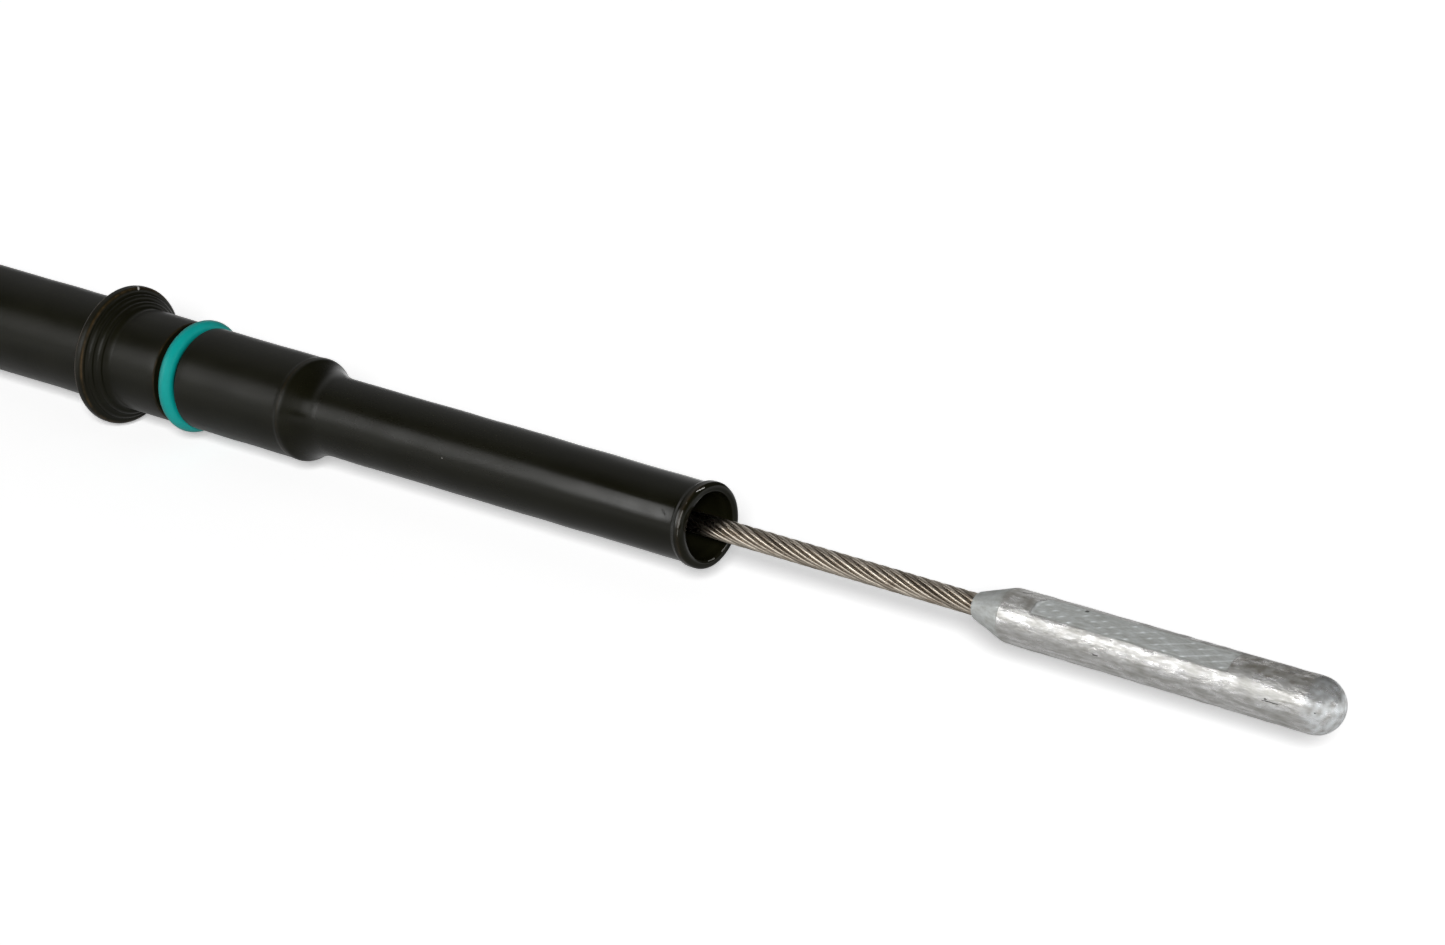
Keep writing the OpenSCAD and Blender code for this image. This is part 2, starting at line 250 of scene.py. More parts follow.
def fill(tree, socket, value):
    """Links a socket, or sets a plain value on it."""
    if isinstance(value, bpy.types.NodeSocket):
        tree.links.new(value, socket)
    elif value is not None:
        socket.default_value = value


def maths(tree, operation, a, b=None, c=None):
    """A Math node; a, b and c are sockets or numbers."""
    node = tree.nodes.new("ShaderNodeMath")
    node.operation = operation
    for socket, value in zip(node.inputs, (a, b, c)):
        fill(tree, socket, value)
    return node.outputs[0]


def vectors(tree, operation, a, b=None):
    """A Vector Math node's result; a and b are sockets or vectors."""
    node = tree.nodes.new("ShaderNodeVectorMath")
    node.operation = operation
    fill(tree, node.inputs[0], a)
    fill(tree, node.inputs[1], b)
    return node.outputs["Value" if operation in ("LENGTH", "DOT_PRODUCT") else "Vector"]


def scaled(tree, value, low, high, to_low, to_high):
    """Map Range with an S-shaped rise, clamped to its ends."""
    node = tree.nodes.new("ShaderNodeMapRange")
    node.interpolation_type = "SMOOTHSTEP"
    for socket, number in zip(node.inputs, (value, low, high, to_low, to_high)):
        fill(tree, socket, number)
    return node.outputs["Result"]


def mixed(tree, share, a, b):
    """Colour a where share is 0 and colour b where it is 1."""
    node = tree.nodes.new("ShaderNodeMix")
    node.data_type = "RGBA"
    fill(tree, node.inputs["Factor"], share)
    fill(tree, node.inputs["A"], a)
    fill(tree, node.inputs["B"], b)
    return node.outputs["Result"]


# %% The shared groups
def build_mottle():
    """Noise of feature size Size, Stretch times longer along X, as a mask and as a colour."""
    group, given, result = new_group(
        "mottle",
        {"Dark": ("NodeSocketColor", (0, 0, 0, 1)), "Light": ("NodeSocketColor", (1, 1, 1, 1)),
         "Size": ("NodeSocketFloat", 0.001), "Stretch": ("NodeSocketFloat", 1.0),
         "Contrast": ("NodeSocketFloat", 1.0)},
        {"Color": "NodeSocketColor", "Mask": "NodeSocketFloat"})
    place = group.nodes.new("ShaderNodeTexCoord").outputs["Object"]
    cell = group.nodes.new("ShaderNodeCombineXYZ")
    fill(group, cell.inputs[0],
         maths(group, "MULTIPLY", given.outputs["Size"], given.outputs["Stretch"]))
    fill(group, cell.inputs[1], given.outputs["Size"])
    fill(group, cell.inputs[2], given.outputs["Size"])
    noise = group.nodes.new("ShaderNodeTexNoise")
    noise.inputs["Scale"].default_value = 1.0
    noise.inputs["Detail"].default_value = 5.0
    noise.inputs["Roughness"].default_value = 0.6
    fill(group, noise.inputs["Vector"], vectors(group, "DIVIDE", place, cell.outputs[0]))
    centred = maths(group, "SUBTRACT", noise.outputs[0], 0.5)
    mask = group.nodes.new("ShaderNodeClamp")
    fill(group, mask.inputs["Value"],
         maths(group, "MULTIPLY_ADD", centred, given.outputs["Contrast"], 0.5))
    fill(group, result.inputs["Color"],
         mixed(group, mask.outputs[0], given.outputs["Dark"], given.outputs["Light"]))
    fill(group, result.inputs["Mask"], mask.outputs[0])
    return group


def build_mark():
    """1 within Width of the line between two points and 0 beyond twice that, with a ragged
    edge: the place is shaken by noise before its distance from the line is measured."""
    group, given, result = new_group(
        "mark",
        {"From": ("NodeSocketVector", (0, 0, 0)), "To": ("NodeSocketVector", (0, 0, 0)),
         "Width": ("NodeSocketFloat", 0.0003), "Ragged": ("NodeSocketFloat", 0.0)},
        {"Mask": "NodeSocketFloat"})
    place = group.nodes.new("ShaderNodeTexCoord").outputs["Object"]
    noise = group.nodes.new("ShaderNodeTexNoise")
    noise.inputs["Scale"].default_value = 2500.0
    fill(group, noise.inputs["Vector"], place)
    shake = vectors(group, "SUBTRACT", noise.outputs["Color"], (0.5, 0.5, 0.5))
    spread = group.nodes.new("ShaderNodeVectorMath")
    spread.operation = "SCALE"
    fill(group, spread.inputs[0], shake)
    fill(group, spread.inputs["Scale"], given.outputs["Ragged"])
    place = vectors(group, "ADD", place, spread.outputs[0])
    line = vectors(group, "SUBTRACT", given.outputs["To"], given.outputs["From"])
    away = vectors(group, "SUBTRACT", place, given.outputs["From"])
    share = maths(group, "DIVIDE", vectors(group, "DOT_PRODUCT", away, line),
                  vectors(group, "DOT_PRODUCT", line, line))
    clamp = group.nodes.new("ShaderNodeClamp")
    fill(group, clamp.inputs["Value"], share)
    along = group.nodes.new("ShaderNodeVectorMath")
    along.operation = "SCALE"
    fill(group, along.inputs[0], line)
    fill(group, along.inputs["Scale"], clamp.outputs[0])
    distance = vectors(group, "LENGTH", vectors(group, "SUBTRACT", away, along.outputs[0]))
    far = maths(group, "MULTIPLY", given.outputs["Width"], 2.0)
    fill(group, result.inputs["Mask"],
         scaled(group, distance, given.outputs["Width"], far, 1.0, 0.0))
    return group


mottle, mark = build_mottle(), build_mark()


def use(tree, group, **values):
    """A shared group placed in a material with its own values."""
    node = tree.nodes.new("ShaderNodeGroup")
    node.node_tree = group
    for key, value in values.items():
        node.inputs[key].default_value = value
    return node


def together(tree, masks):
    """The strongest of several masks."""
    total = masks[0]
    for mask in masks[1:]:
        total = maths(tree, "MAXIMUM", total, mask)
    return total


def marks(tree, rows):
    """The strongest of the marks in a table on a round surface. Each row is (start, end, width,
    ragged), with start and end as (x, radius, degrees) and all lengths in mm."""
    return together(tree, [
        use(tree, mark, From=Vector(on_round(*start)) * MM, To=Vector(on_round(*end)) * MM,
            Width=width * MM, Ragged=ragged * MM).outputs["Mask"]
        for start, end, width, ragged in rows])


def new_material(name, metallic=0.0, specular=0.5):
    """A material with its Principled BSDF, and the plain values that the whole surface has."""
    material = bpy.data.materials.new(name)
    material.use_nodes = True
    tree = material.node_tree
    shader = tree.nodes["Principled BSDF"]
    shader.inputs["Metallic"].default_value = metallic
    shader.inputs["Specular IOR Level"].default_value = specular
    return material, tree, shader


def bumped(tree, shader, *layers):
    """Heights, each (mask, strength, depth in mm), as one chain of Bump nodes."""
    last = None
    for height, strength, depth in layers:
        bump = tree.nodes.new("ShaderNodeBump")
        bump.inputs["Strength"].default_value = strength
        bump.inputs["Distance"].default_value = depth * MM
        fill(tree, bump.inputs["Height"], height)
        if last:
            fill(tree, bump.inputs["Normal"], last)
        last = bump.outputs[0]
    fill(tree, shader.inputs["Normal"], last)


# %% [markdown]
# ### Black paint
# The paint is a thin satin black. The rollers left fine rings across the spigot, so it shines less
# there than on the drawn nose, which is smoothest at its mouth. On sharp edges the paint has worn
# thin and shows brown, where a number that the mesh carries says so, and a few knocks show metal.
# On the rear edge of the seal's groove that brown is a painted glint, and on the lip the brown and
# the bright scuffs on its crest are partly wear and partly a painted highlight.
# Painted pictures could hold all this too, but they need an unwrapped mesh. Noise in real sizes
# has no seams, and a short table can put each knock where it belongs.

# %% Black paint
PAINT_DARK, PAINT_LIGHT = (0.0035, 0.0034, 0.0013, 1), (0.0063, 0.0061, 0.0028, 1)
# the brown is worn paint, and on the groove's rear edge and the lip also a painted glint
WEAR_AND_GLINT_BROWN, BARE_STEEL = (0.085, 0.052, 0.022, 1), (0.42, 0.41, 0.39, 1)
SPIGOT_ROUGH, NOSE_ROUGH, MOUTH_SMOOTHER, ROOT_SMOOTHER = 0.27, 0.23, 0.12, 0.09
NICKS = [((-1.25, 8.2, -14), (0.2, 8.0, -9.5), 0.10, 0.15),
         ((mouth_x - 0.25, 4.9, 24), (mouth_x - 0.1, 4.75, 10), 0.03, 0.15),
         ((54.5, 4.6, 79.6), (54.6, 4.6, 80), 0.02, 0.1)]
# scuffs on the lip's crest, partly wear and partly a painted highlight, then flecks on its inner
# edge
SCUFFS_AND_HIGHLIGHT = [((mouth_x - 0.42, 4.96, start), (mouth_x - 0.42, 4.96, end), width, 0.16)
          for start, end, width in ((38, 52, 0.02), (56, 66, 0.05), (66, 78, 0.07), (80, 90, 0.02))]
SCUFFS_AND_HIGHLIGHT += [((mouth_x - 0.03, 4.0, start), (mouth_x - 0.03, 4.0, end), 0.04, 0.2)
           for start, end in ((-150, -135), (-118, -100), (20, 34), (176, 190))]
SCUFF_SHOWS = 0.22
DENTS = [((87.4, 4.6, 62), (87.7, 4.6, 65), 0.05, 0.1),
         ((87.9, 4.6, 66.5), (87.9, 4.6, 67), 0.05, 0.05),
         ((39.7, 4.6, -16), (40.2, 4.6, -13), 0.05, 0.1)]


def black_paint():
    """Paint over mottled black, worn edges with a painted glint on the groove's rear edge and a
    painted highlight on the lip, nicks, and bumps for rings, peel and dents.
    """
    material, tree, shader = new_material("black_paint", specular=0.17)
    skin = use(tree, mottle, Dark=PAINT_DARK, Light=PAINT_LIGHT, Size=0.0025, Stretch=2.5,
               Contrast=1.6)
    worn = tree.nodes.new("ShaderNodeAttribute")
    worn.attribute_name = "worn"
    patches = use(tree, mottle, Size=0.0012, Stretch=1.0, Contrast=3.0).outputs["Mask"]
    share = maths(tree, "MULTIPLY", worn.outputs["Fac"], patches)
    # brown on worn edges; on the groove's rear edge it is a painted glint, on the lip partly a
    # painted highlight
    colour = mixed(tree, share, skin.outputs["Color"], WEAR_AND_GLINT_BROWN)
    nicks = marks(tree, NICKS)
    colour = mixed(tree, nicks, colour, BARE_STEEL)
    # bare steel in the lip's scuffs: wear, and on its crest partly a painted highlight
    scuffs_and_highlight = maths(tree, "MULTIPLY", marks(tree, SCUFFS_AND_HIGHLIGHT), SCUFF_SHOWS)
    colour = mixed(tree, scuffs_and_highlight, colour, BARE_STEEL)
    fill(tree, shader.inputs["Base Color"], colour)

    place = tree.nodes.new("ShaderNodeTexCoord").outputs["Object"]
    split = tree.nodes.new("ShaderNodeSeparateXYZ")
    fill(tree, split.inputs[0], place)
    x = split.outputs["X"]
    rough = scaled(tree, x, 0.026, 0.036, SPIGOT_ROUGH, NOSE_ROUGH)
    rough = maths(tree, "ADD", rough, scaled(tree, x, 0.06, 0.085, 0.0, -MOUTH_SMOOTHER))
    # the drawing die left the root of the shoulder smoother
    root = maths(tree, "MULTIPLY", scaled(tree, x, 0.0308, 0.0322, 0.0, -ROOT_SMOOTHER),
                 scaled(tree, x, 0.0332, 0.0350, 1.0, 0.0))
    rough = maths(tree, "ADD", rough, root)
    streaks = use(tree, mottle, Size=0.0016, Stretch=3.0, Contrast=1.5).outputs["Mask"]
    rough = maths(tree, "MULTIPLY_ADD", streaks, 0.10, rough)
    fill(tree, shader.inputs["Roughness"], rough)

    on_spigot = scaled(tree, x, 0.028, 0.031, 1.0, 0.12)
    rings = use(tree, mottle, Size=0.0011, Stretch=0.28, Contrast=1.6).outputs["Mask"]
    rings = maths(tree, "MULTIPLY", rings, on_spigot)
    peel = use(tree, mottle, Size=0.0007, Stretch=1.0, Contrast=1.0).outputs["Mask"]
    whole = maths(tree, "SUBTRACT", 1.0, marks(tree, DENTS))
    bumped(tree, shader, (peel, 0.10, 0.03), (rings, 0.16, 0.03),
           (whole, 1.0, 0.15), (nicks, 0.4, 0.05))
    return material


paint = black_paint()
print(f"{paint.name}: {len(paint.node_tree.nodes)} nodes")

# %% [markdown]
# ### Rubber, rope steel, zinc, plating and plastic
# These finishes are even from afar and only slightly uneven up close. So one recipe serves them
# all: a mottled colour, a mottled roughness and a fine bump, each with its own values.


# %% Plain finishes
ROUGHNESS_SPREAD = 0.12


def plain_finish(name, dark, light, size, roughness, metallic=0.0, specular=0.5,
                 bump=(0.1, 0.0004, 0.03)):
    """Mottled colour and roughness; size is the mottle's in m, and bump is (strength, feature
    size in m, depth in mm)."""
    material, tree, shader = new_material(name, metallic, specular)
    colour = use(tree, mottle, Dark=(*dark, 1), Light=(*light, 1), Size=size, Contrast=1.6)
    fill(tree, shader.inputs["Base Color"], colour.outputs["Color"])
    uneven = use(tree, mottle, Size=1.7 * size, Contrast=1.4).outputs["Mask"]
    fill(tree, shader.inputs["Roughness"],
         maths(tree, "MULTIPLY_ADD", uneven, ROUGHNESS_SPREAD, roughness - ROUGHNESS_SPREAD / 2))
    strength, feature, depth = bump
    grain = use(tree, mottle, Size=feature, Contrast=1.2).outputs["Mask"]
    bumped(tree, shader, (grain, strength, depth))
    return material


green_rubber = plain_finish("green_rubber", (0.001, 0.215, 0.195), (0.003, 0.285, 0.262),
                            size=0.003, roughness=0.40, specular=0.30, bump=(0.08, 0.0004, 0.02))
black_rubber = plain_finish("black_rubber", (0.010, 0.010, 0.010), (0.020, 0.020, 0.020),
                            size=0.002, roughness=0.45)
plated = plain_finish("plated", (0.40, 0.39, 0.36), (0.58, 0.57, 0.53), size=0.002,
                      roughness=0.32, metallic=1.0)
yellow_plastic = plain_finish("yellow_plastic", (0.60, 0.31, 0.012), (0.70, 0.38, 0.018),
                              size=0.005, roughness=0.40, specular=0.45,
                              bump=(0.22, 0.0003, 0.02))
weld_steel = plain_finish("weld_steel", (0.006, 0.006, 0.005), (0.018, 0.015, 0.012), size=0.001,
                          roughness=0.42, specular=0.25, bump=(0.3, 0.0005, 0.05))
print("Plain finishes:", green_rubber.name, black_rubber.name, plated.name, yellow_plastic.name,
      weld_steel.name)

# %% [markdown]
# ### Rope steel
# The rope's wires are drawn, bare and old. Each has its own tone, which the mesh carries as the
# number "tone", so that neighbours can be told apart even where they share the light.


# %% Rope steel
DARK_WIRE, LIGHT_WIRE = (0.24, 0.205, 0.165, 1), (0.60, 0.535, 0.45, 1)
WIRE_DIRT = (0.16, 0.11, 0.07, 1)


def rope_steel_finish():
    """Drawn wire, each wire of its own tone, with brown dirt where it shows in patches."""
    material, tree, shader = new_material("rope_steel", metallic=1.0)
    tone = tree.nodes.new("ShaderNodeAttribute")
    tone.attribute_name = "tone"
    wire = mixed(tree, tone.outputs["Fac"], DARK_WIRE, LIGHT_WIRE)
    dirt = use(tree, mottle, Size=0.0009, Stretch=3.0, Contrast=2.2).outputs["Mask"]
    colour = mixed(tree, scaled(tree, dirt, 0.55, 0.95, 0.0, 0.6), wire, WIRE_DIRT)
    fill(tree, shader.inputs["Base Color"], colour)
    fill(tree, shader.inputs["Roughness"], maths(tree, "MULTIPLY_ADD", dirt, 0.16, 0.22))
    draw_lines = use(tree, mottle, Size=0.00012, Stretch=8.0, Contrast=1.5).outputs["Mask"]
    bumped(tree, shader, (draw_lines, 0.15, 0.01))
    return material


rope_steel = rope_steel_finish()
print(f"{rope_steel.name}: {len(rope_steel.node_tree.nodes)} nodes")

# %% [markdown]
# ### Cast zinc
# The tip is die-cast and tumbled. Its cone and window kept a matt grey skin, and its round side was
# rubbed nearly to a mirror in long streaks. Pits, a mould seam and brown stains lie on it. Which
# skin is where follows the shape, so the mesh carries it as numbers, and noise breaks it up. The
# near white of the hatch's raised dashes and of the dome is partly rubbed metal, and partly painted
# glints on the dashes and a painted highlight on the dome.

# %% Cast zinc
ZINC_MATT, ZINC_GREY = (0.60, 0.625, 0.62, 1), (0.46, 0.46, 0.44, 1)
# the near white is rubbed zinc, and also painted glints on the dashes and a painted highlight on
# the dome
ZINC_BRIGHT, ZINC_RUBBED_AND_GLINT = (0.82, 0.82, 0.83, 1), (0.92, 0.96, 0.98, 1)
ZINC_DULL = (0.60, 0.585, 0.55, 1)
STAIN, PIT = (0.21, 0.19, 0.155, 1), (0.05, 0.05, 0.045, 1)
PITS = [((143.8, 3.05, 3.5), (144.0, 3.05, 3.5), 0.10, 0.0),
        ((135.4, 3.06, 6), (136.4, 3.06, -2), 0.05, 0.15),
        ((169.3, 3.1, 86), (171.4, 3.1, 85), 0.03, 0.12),
        ((169.6, 3.1, 82), (169.8, 3.1, 82), 0.05, 0.08),
        ((174.4, 3.0, 84), (175.8, 2.6, 84), 0.03, 0.12),
        ((147.0, 3.06, 95), (147.6, 3.06, 96), 0.05, 0.25)]
MOULD_SEAM = [((158.3, 3.06, 100), (158.3, 3.06, 150), 0.05, 0.2)]


def zinc_finish():
    """Bright streaks over grey. The mesh's own numbers say where the skin is matt, where it is
    raised and so rubbed bright, which also paints glints on the dashes and a highlight on the dome,
    and where it is stained; a table says where the pits are."""
    material, tree, shader = new_material("zinc")
    streaks = use(tree, mottle, Size=0.00042, Stretch=7.0, Contrast=2.6).outputs["Mask"]
    clouds = use(tree, mottle, Size=0.0013, Stretch=2.6, Contrast=3.4).outputs["Mask"]
    polish = maths(tree, "MULTIPLY", scaled(tree, streaks, 0.2, 0.8, 0.35, 1.0),
                   scaled(tree, clouds, 0.25, 0.75, 0.5, 1.0))
    numbers = {}
    for name in ("matt", "raised", "stained"):
        numbers[name] = tree.nodes.new("ShaderNodeAttribute")
        numbers[name].attribute_name = name
    matt, raised = numbers["matt"].outputs["Fac"], numbers["raised"].outputs["Fac"]
    polish = maths(tree, "MULTIPLY", polish, maths(tree, "SUBTRACT", 1.0, matt))
    bright = mixed(tree, polish, ZINC_GREY, ZINC_BRIGHT)
    colour = mixed(tree, matt, bright, ZINC_MATT)
    dull = use(tree, mottle, Dark=ZINC_DULL, Size=0.0005, Stretch=3.5, Contrast=2.0)
    colour = vectors(tree, "MULTIPLY", colour, dull.outputs["Color"])
    # near white where the mesh says raised: rubbed metal, painted glints on the dashes, a painted
    # highlight on the dome
    colour = mixed(tree, maths(tree, "MULTIPLY", raised, 0.95), colour, ZINC_RUBBED_AND_GLINT)
    brown = use(tree, mottle, Size=0.0012, Stretch=1.3, Contrast=2.4).outputs["Mask"]
    stain = maths(tree, "MULTIPLY", numbers["stained"].outputs["Fac"],
                  scaled(tree, brown, 0.2, 0.8, 0.15, 0.75))
    colour = mixed(tree, stain, colour, STAIN)
    pits = marks(tree, PITS)
    colour = mixed(tree, maths(tree, "MULTIPLY", pits, 0.85), colour, PIT)
    colour = mixed(tree, maths(tree, "MULTIPLY", marks(tree, MOULD_SEAM), 0.4), colour, STAIN)
    fill(tree, shader.inputs["Base Color"], colour)
    shine = maths(tree, "MULTIPLY_ADD", matt, -0.30, 0.75)
    fill(tree, shader.inputs["Metallic"], shine)
    fill(tree, shader.inputs["Roughness"], maths(tree, "MULTIPLY_ADD", polish, -0.20, 0.42))
    skin = use(tree, mottle, Size=0.0007, Stretch=2.8, Contrast=2.4).outputs["Mask"]
    grain = use(tree, mottle, Size=0.00025, Stretch=1.5, Contrast=1.4).outputs["Mask"]
    bumped(tree, shader, (skin, 0.50, 0.10), (grain, 0.35, 0.03),
           (maths(tree, "SUBTRACT", 1.0, pits), 0.8, 0.12))
    return material


zinc = zinc_finish()
print(f"{zinc.name}: {len(zinc.node_tree.nodes)} nodes, {len(PITS)} pits")

# %% [markdown]
# ## The guide tube
# The outline runs along the outside from the mouth to the cup's rim and back along the bore, so
# one turned surface has both skins of the wall. Its sizes repeat the solid's. A fine ridge is added
# where the drawing die stopped, at the end of the spigot, and the front wall of the seal's groove
# stands a little nearer to the seal, so that no dark gap shows there.

# %% Tube sizes
TUBE_R, WALL = 6.0, 1.0
SPIGOT_LEN, SHOULDER_LEN, SHOULDER_CROWN = 29.7, 5.0, 0.13
DIE_RIDGE_R, DIE_RIDGE_W = 6.07, 0.7
NOSE_R, LIP_R, LIP_BORE_R, LIP_LEN, LIP_ROUND = 4.6, 4.95, 3.9, 1.9, 0.45
FLANGE_T, FLANGE_ROUND = 1.4, 0.5
RIDGE_R, RIDGE_H, ROOT_R, ROOT_H, RIDGE_ROUND = 7.4, 0.7, 6.7, 1.5, 0.36
GROOVE_W, GROOVE_ROUND, FRONT_NEARER = 3.8, 0.25, 0.5
CUP_R, CUP_DEPTH, CUP_BLEND, CUP_FLARE, CUP_LEAD = 7.5, 22.0, 5.0, 1.6, 0.6
groove_r = seal_r - seal_section
bore_r = TUBE_R - WALL
cup_end_x = rim_x + CUP_DEPTH


# %% Tube outline
def tube_outside():
    """The outside from the mouth to the cup's rim, as [radius, x]."""
    front, back = groove_x + GROOVE_W / 2 - FRONT_NEARER, groove_x - GROOVE_W / 2
    gr, rr, fr = GROOVE_ROUND, RIDGE_ROUND, FLANGE_ROUND
    return np.concatenate([
        arc([LIP_R - LIP_ROUND, mouth_x - LIP_ROUND], LIP_ROUND, 90, 0),
        blend([LIP_R, mouth_x - 2 * LIP_ROUND], [NOSE_R, mouth_x - LIP_LEN], 0.5),
        blend([NOSE_R, SPIGOT_LEN + SHOULDER_LEN], [DIE_RIDGE_R, SPIGOT_LEN + 0.25],
              1 - SHOULDER_CROWN, 20),
        blend([DIE_RIDGE_R, SPIGOT_LEN], [TUBE_R, SPIGOT_LEN - DIE_RIDGE_W], 0.5, 4),
        arc([TUBE_R - gr, front + gr], gr, 0, -90), [[groove_r, front], [groove_r, back]],
        arc([TUBE_R - gr, back - gr], gr, 90, 0), [[TUBE_R, ROOT_H]],
        arc([ROOT_R - rr, ROOT_H - rr], rr, 90, 0), [[ROOT_R, RIDGE_H]],
        arc([RIDGE_R - rr, RIDGE_H - rr], rr, 90, 0), [[RIDGE_R, 0]],
        arc([flange_r - fr, -fr], fr, 90, 0),
        arc([flange_r - fr, fr - FLANGE_T], fr, 0, -90),
        arc([TUBE_R + fr, -FLANGE_T - fr], fr, 90, 180),
        blend([TUBE_R, cup_end_x + CUP_BLEND], [CUP_R, cup_end_x], 0.5),
        blend([CUP_R, rim_x + WALL + CUP_FLARE], [flange_r, rim_x + WALL / 2], 0.5),
        [[flange_r, rim_x]]])


def tube_inside():
    """The bore from the cup's rim back to the mouth, as [radius, x]."""
    front, back = groove_x + GROOVE_W / 2 + WALL, groove_x - GROOVE_W / 2 - WALL
    bead_r, cup_bore_r, nose_bore_r = groove_r - WALL, CUP_R - WALL, NOSE_R - WALL
    return np.concatenate([
        [[cup_bore_r + CUP_LEAD, rim_x], [cup_bore_r, rim_x + CUP_FLARE]],
        blend([cup_bore_r, cup_end_x], [bore_r, cup_end_x + CUP_BLEND], 0.5),
        blend([bore_r, back - WALL], [bead_r, back + WALL / 2], 0.5),
        blend([bead_r, front - WALL / 2], [bore_r, front + WALL], 0.5),
        blend([bore_r, SPIGOT_LEN], [nose_bore_r, SPIGOT_LEN + SHOULDER_LEN], SHOULDER_CROWN),
        blend([nose_bore_r, mouth_x - LIP_LEN], [LIP_BORE_R, mouth_x - LIP_ROUND], 0.5),
        [[LIP_BORE_R, mouth_x - 0.15], [LIP_BORE_R + 0.1, mouth_x]]])


# %% Turn the tube, shake it a little and mark its worn edges and its painted glints
TUBE_COLUMNS, OUTSIDE_STEP, BORE_STEP = 160, 1.3, 5.0
SWELL, SWELL_SIZE, LIP_SHAKE = 0.022, 9.0, 0.045
# flange, cup and die ridge are worn; the groove's rear edge is a painted glint, the lip partly a
# painted highlight
WEAR_AND_GLINT_EDGES = [  # radius, x, reach and strength, in mm
    (flange_r - 0.12, -FLANGE_T + 0.12, 0.22, 0.9), (flange_r - 0.12, -0.12, 0.13, 0.6),
    (TUBE_R, groove_x - GROOVE_W / 2 - 0.05, 0.10, 0.5), (LIP_R, mouth_x - 0.5, 0.2, 0.2),
    (flange_r, rim_x + 0.3, 0.4, 0.7), (DIE_RIDGE_R, SPIGOT_LEN + 0.1, 0.12, 0.25)]


def shaken_tube(profile):
    """The turned tube with a slow swell on its skin and a less regular edge at its mouth."""
    grid = turned(profile, TUBE_COLUMNS)
    radius = profile[:, :1] + 0 * grid[..., 0]
    outside = radius > bore_r
    drawn = smooth_step(grid[..., 0], SPIGOT_LEN, SPIGOT_LEN + SHOULDER_LEN)
    outside = np.maximum(outside, drawn * (radius > NOSE_R - WALL / 2))
    free = 1 - smooth_step(radius, TUBE_R - 0.1, TUBE_R + 0.4) * (grid[..., 0] > rim_x + 30)
    swell = SWELL * lumps(grid, SWELL_SIZE, 3) * outside * free * (grid[..., 0] < mouth_x - 2.2)
    at_lip = smooth_step(grid[..., 0], mouth_x - 1.6, mouth_x - 0.6)
    swell = swell - LIP_SHAKE * at_lip * (0.5 + 0.5 * lumps(grid, 4.0, 4))
    share = 1 + swell / radius
    grid[..., 1:] *= share[..., None]
    grid[..., 0] -= 0.05 * at_lip * (0.5 + 0.5 * lumps(grid, 5.0, 8))
    return grid


def worn_amount(profile):
    """Up to 1 on the sharp edges and 0 away from them: e^-(distance / reach)^2 for each edge.
    It marks wear, a painted glint on the groove's rear edge and partly a painted highlight on the
    lip.
    """
    total = np.zeros(len(profile))
    for r, x, reach, strength in WEAR_AND_GLINT_EDGES:
        distance = np.hypot(profile[:, 0] - r, profile[:, 1] - x)
        total = np.maximum(total, strength * np.exp(-(distance / reach) ** 2))
    return np.repeat(total[:, None], TUBE_COLUMNS, axis=1)


tube_profile = np.concatenate([refine(tube_outside(), OUTSIDE_STEP),
                               refine(tube_inside(), BORE_STEP)])
make_piece("formed_tube", [(shaken_tube(tube_profile), True, True)], "guide", ["guide_tube"],
           paint, "black_paint", worn=worn_amount(tube_profile))

# %% [markdown]
# ## The seals
# Each seal is a moulded ring of round section. A ready-made ring shape would do as well, but the
# same turning as for the tube ties its place and section to the solid's box.


# %% Seals
RING_COLUMNS, SECTION_STEPS = 160, 40


def seal(name, centre_x, section, outer_r, body, node, material, slot):
    """A ring: the section's circle carried round the X axis."""
    profile = arc([outer_r - section / 2, centre_x], section / 2, 0, 360, SECTION_STEPS)[:-1]
    ring = turned(profile, RING_COLUMNS)
    return make_piece(name, [(ring, True, True)], body, [node], material, slot)


seal("green_seal", groove_x, seal_section, seal_r, "guide", "spigot_seal", green_rubber,
     "spigot_rubber")
for place in ("outer", "inner"):
    low, high = (np.array(p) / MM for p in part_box(f"{place}_handle_seal"))
    seal(f"{place}_plug_seal", (low[0] + high[0]) / 2, high[0] - low[0], high[2], "seals",
         f"{place}_handle_seal", black_rubber, "handle_rubber")

# %% [markdown]
# ## The wire rope
# The rope is a strand: one core wire, six wires round it, and twelve outer wires that make one
# turn in each lay length. A wire's path is a helix, and its skin is a small circle carried along
# it, square to the path. It is stiff, short and held straight by the tube, so it is not a cord
# that could lie loose. A curve with a round bevel could be a wire too; grids are chosen because
# they close their own ends and can carry a tone.

# %% Rope
LAY = 21.6
WIRE_R = rope_r / 5
WIRE_SHARE = 0.985  # of its radius, so that neighbours don't share a skin


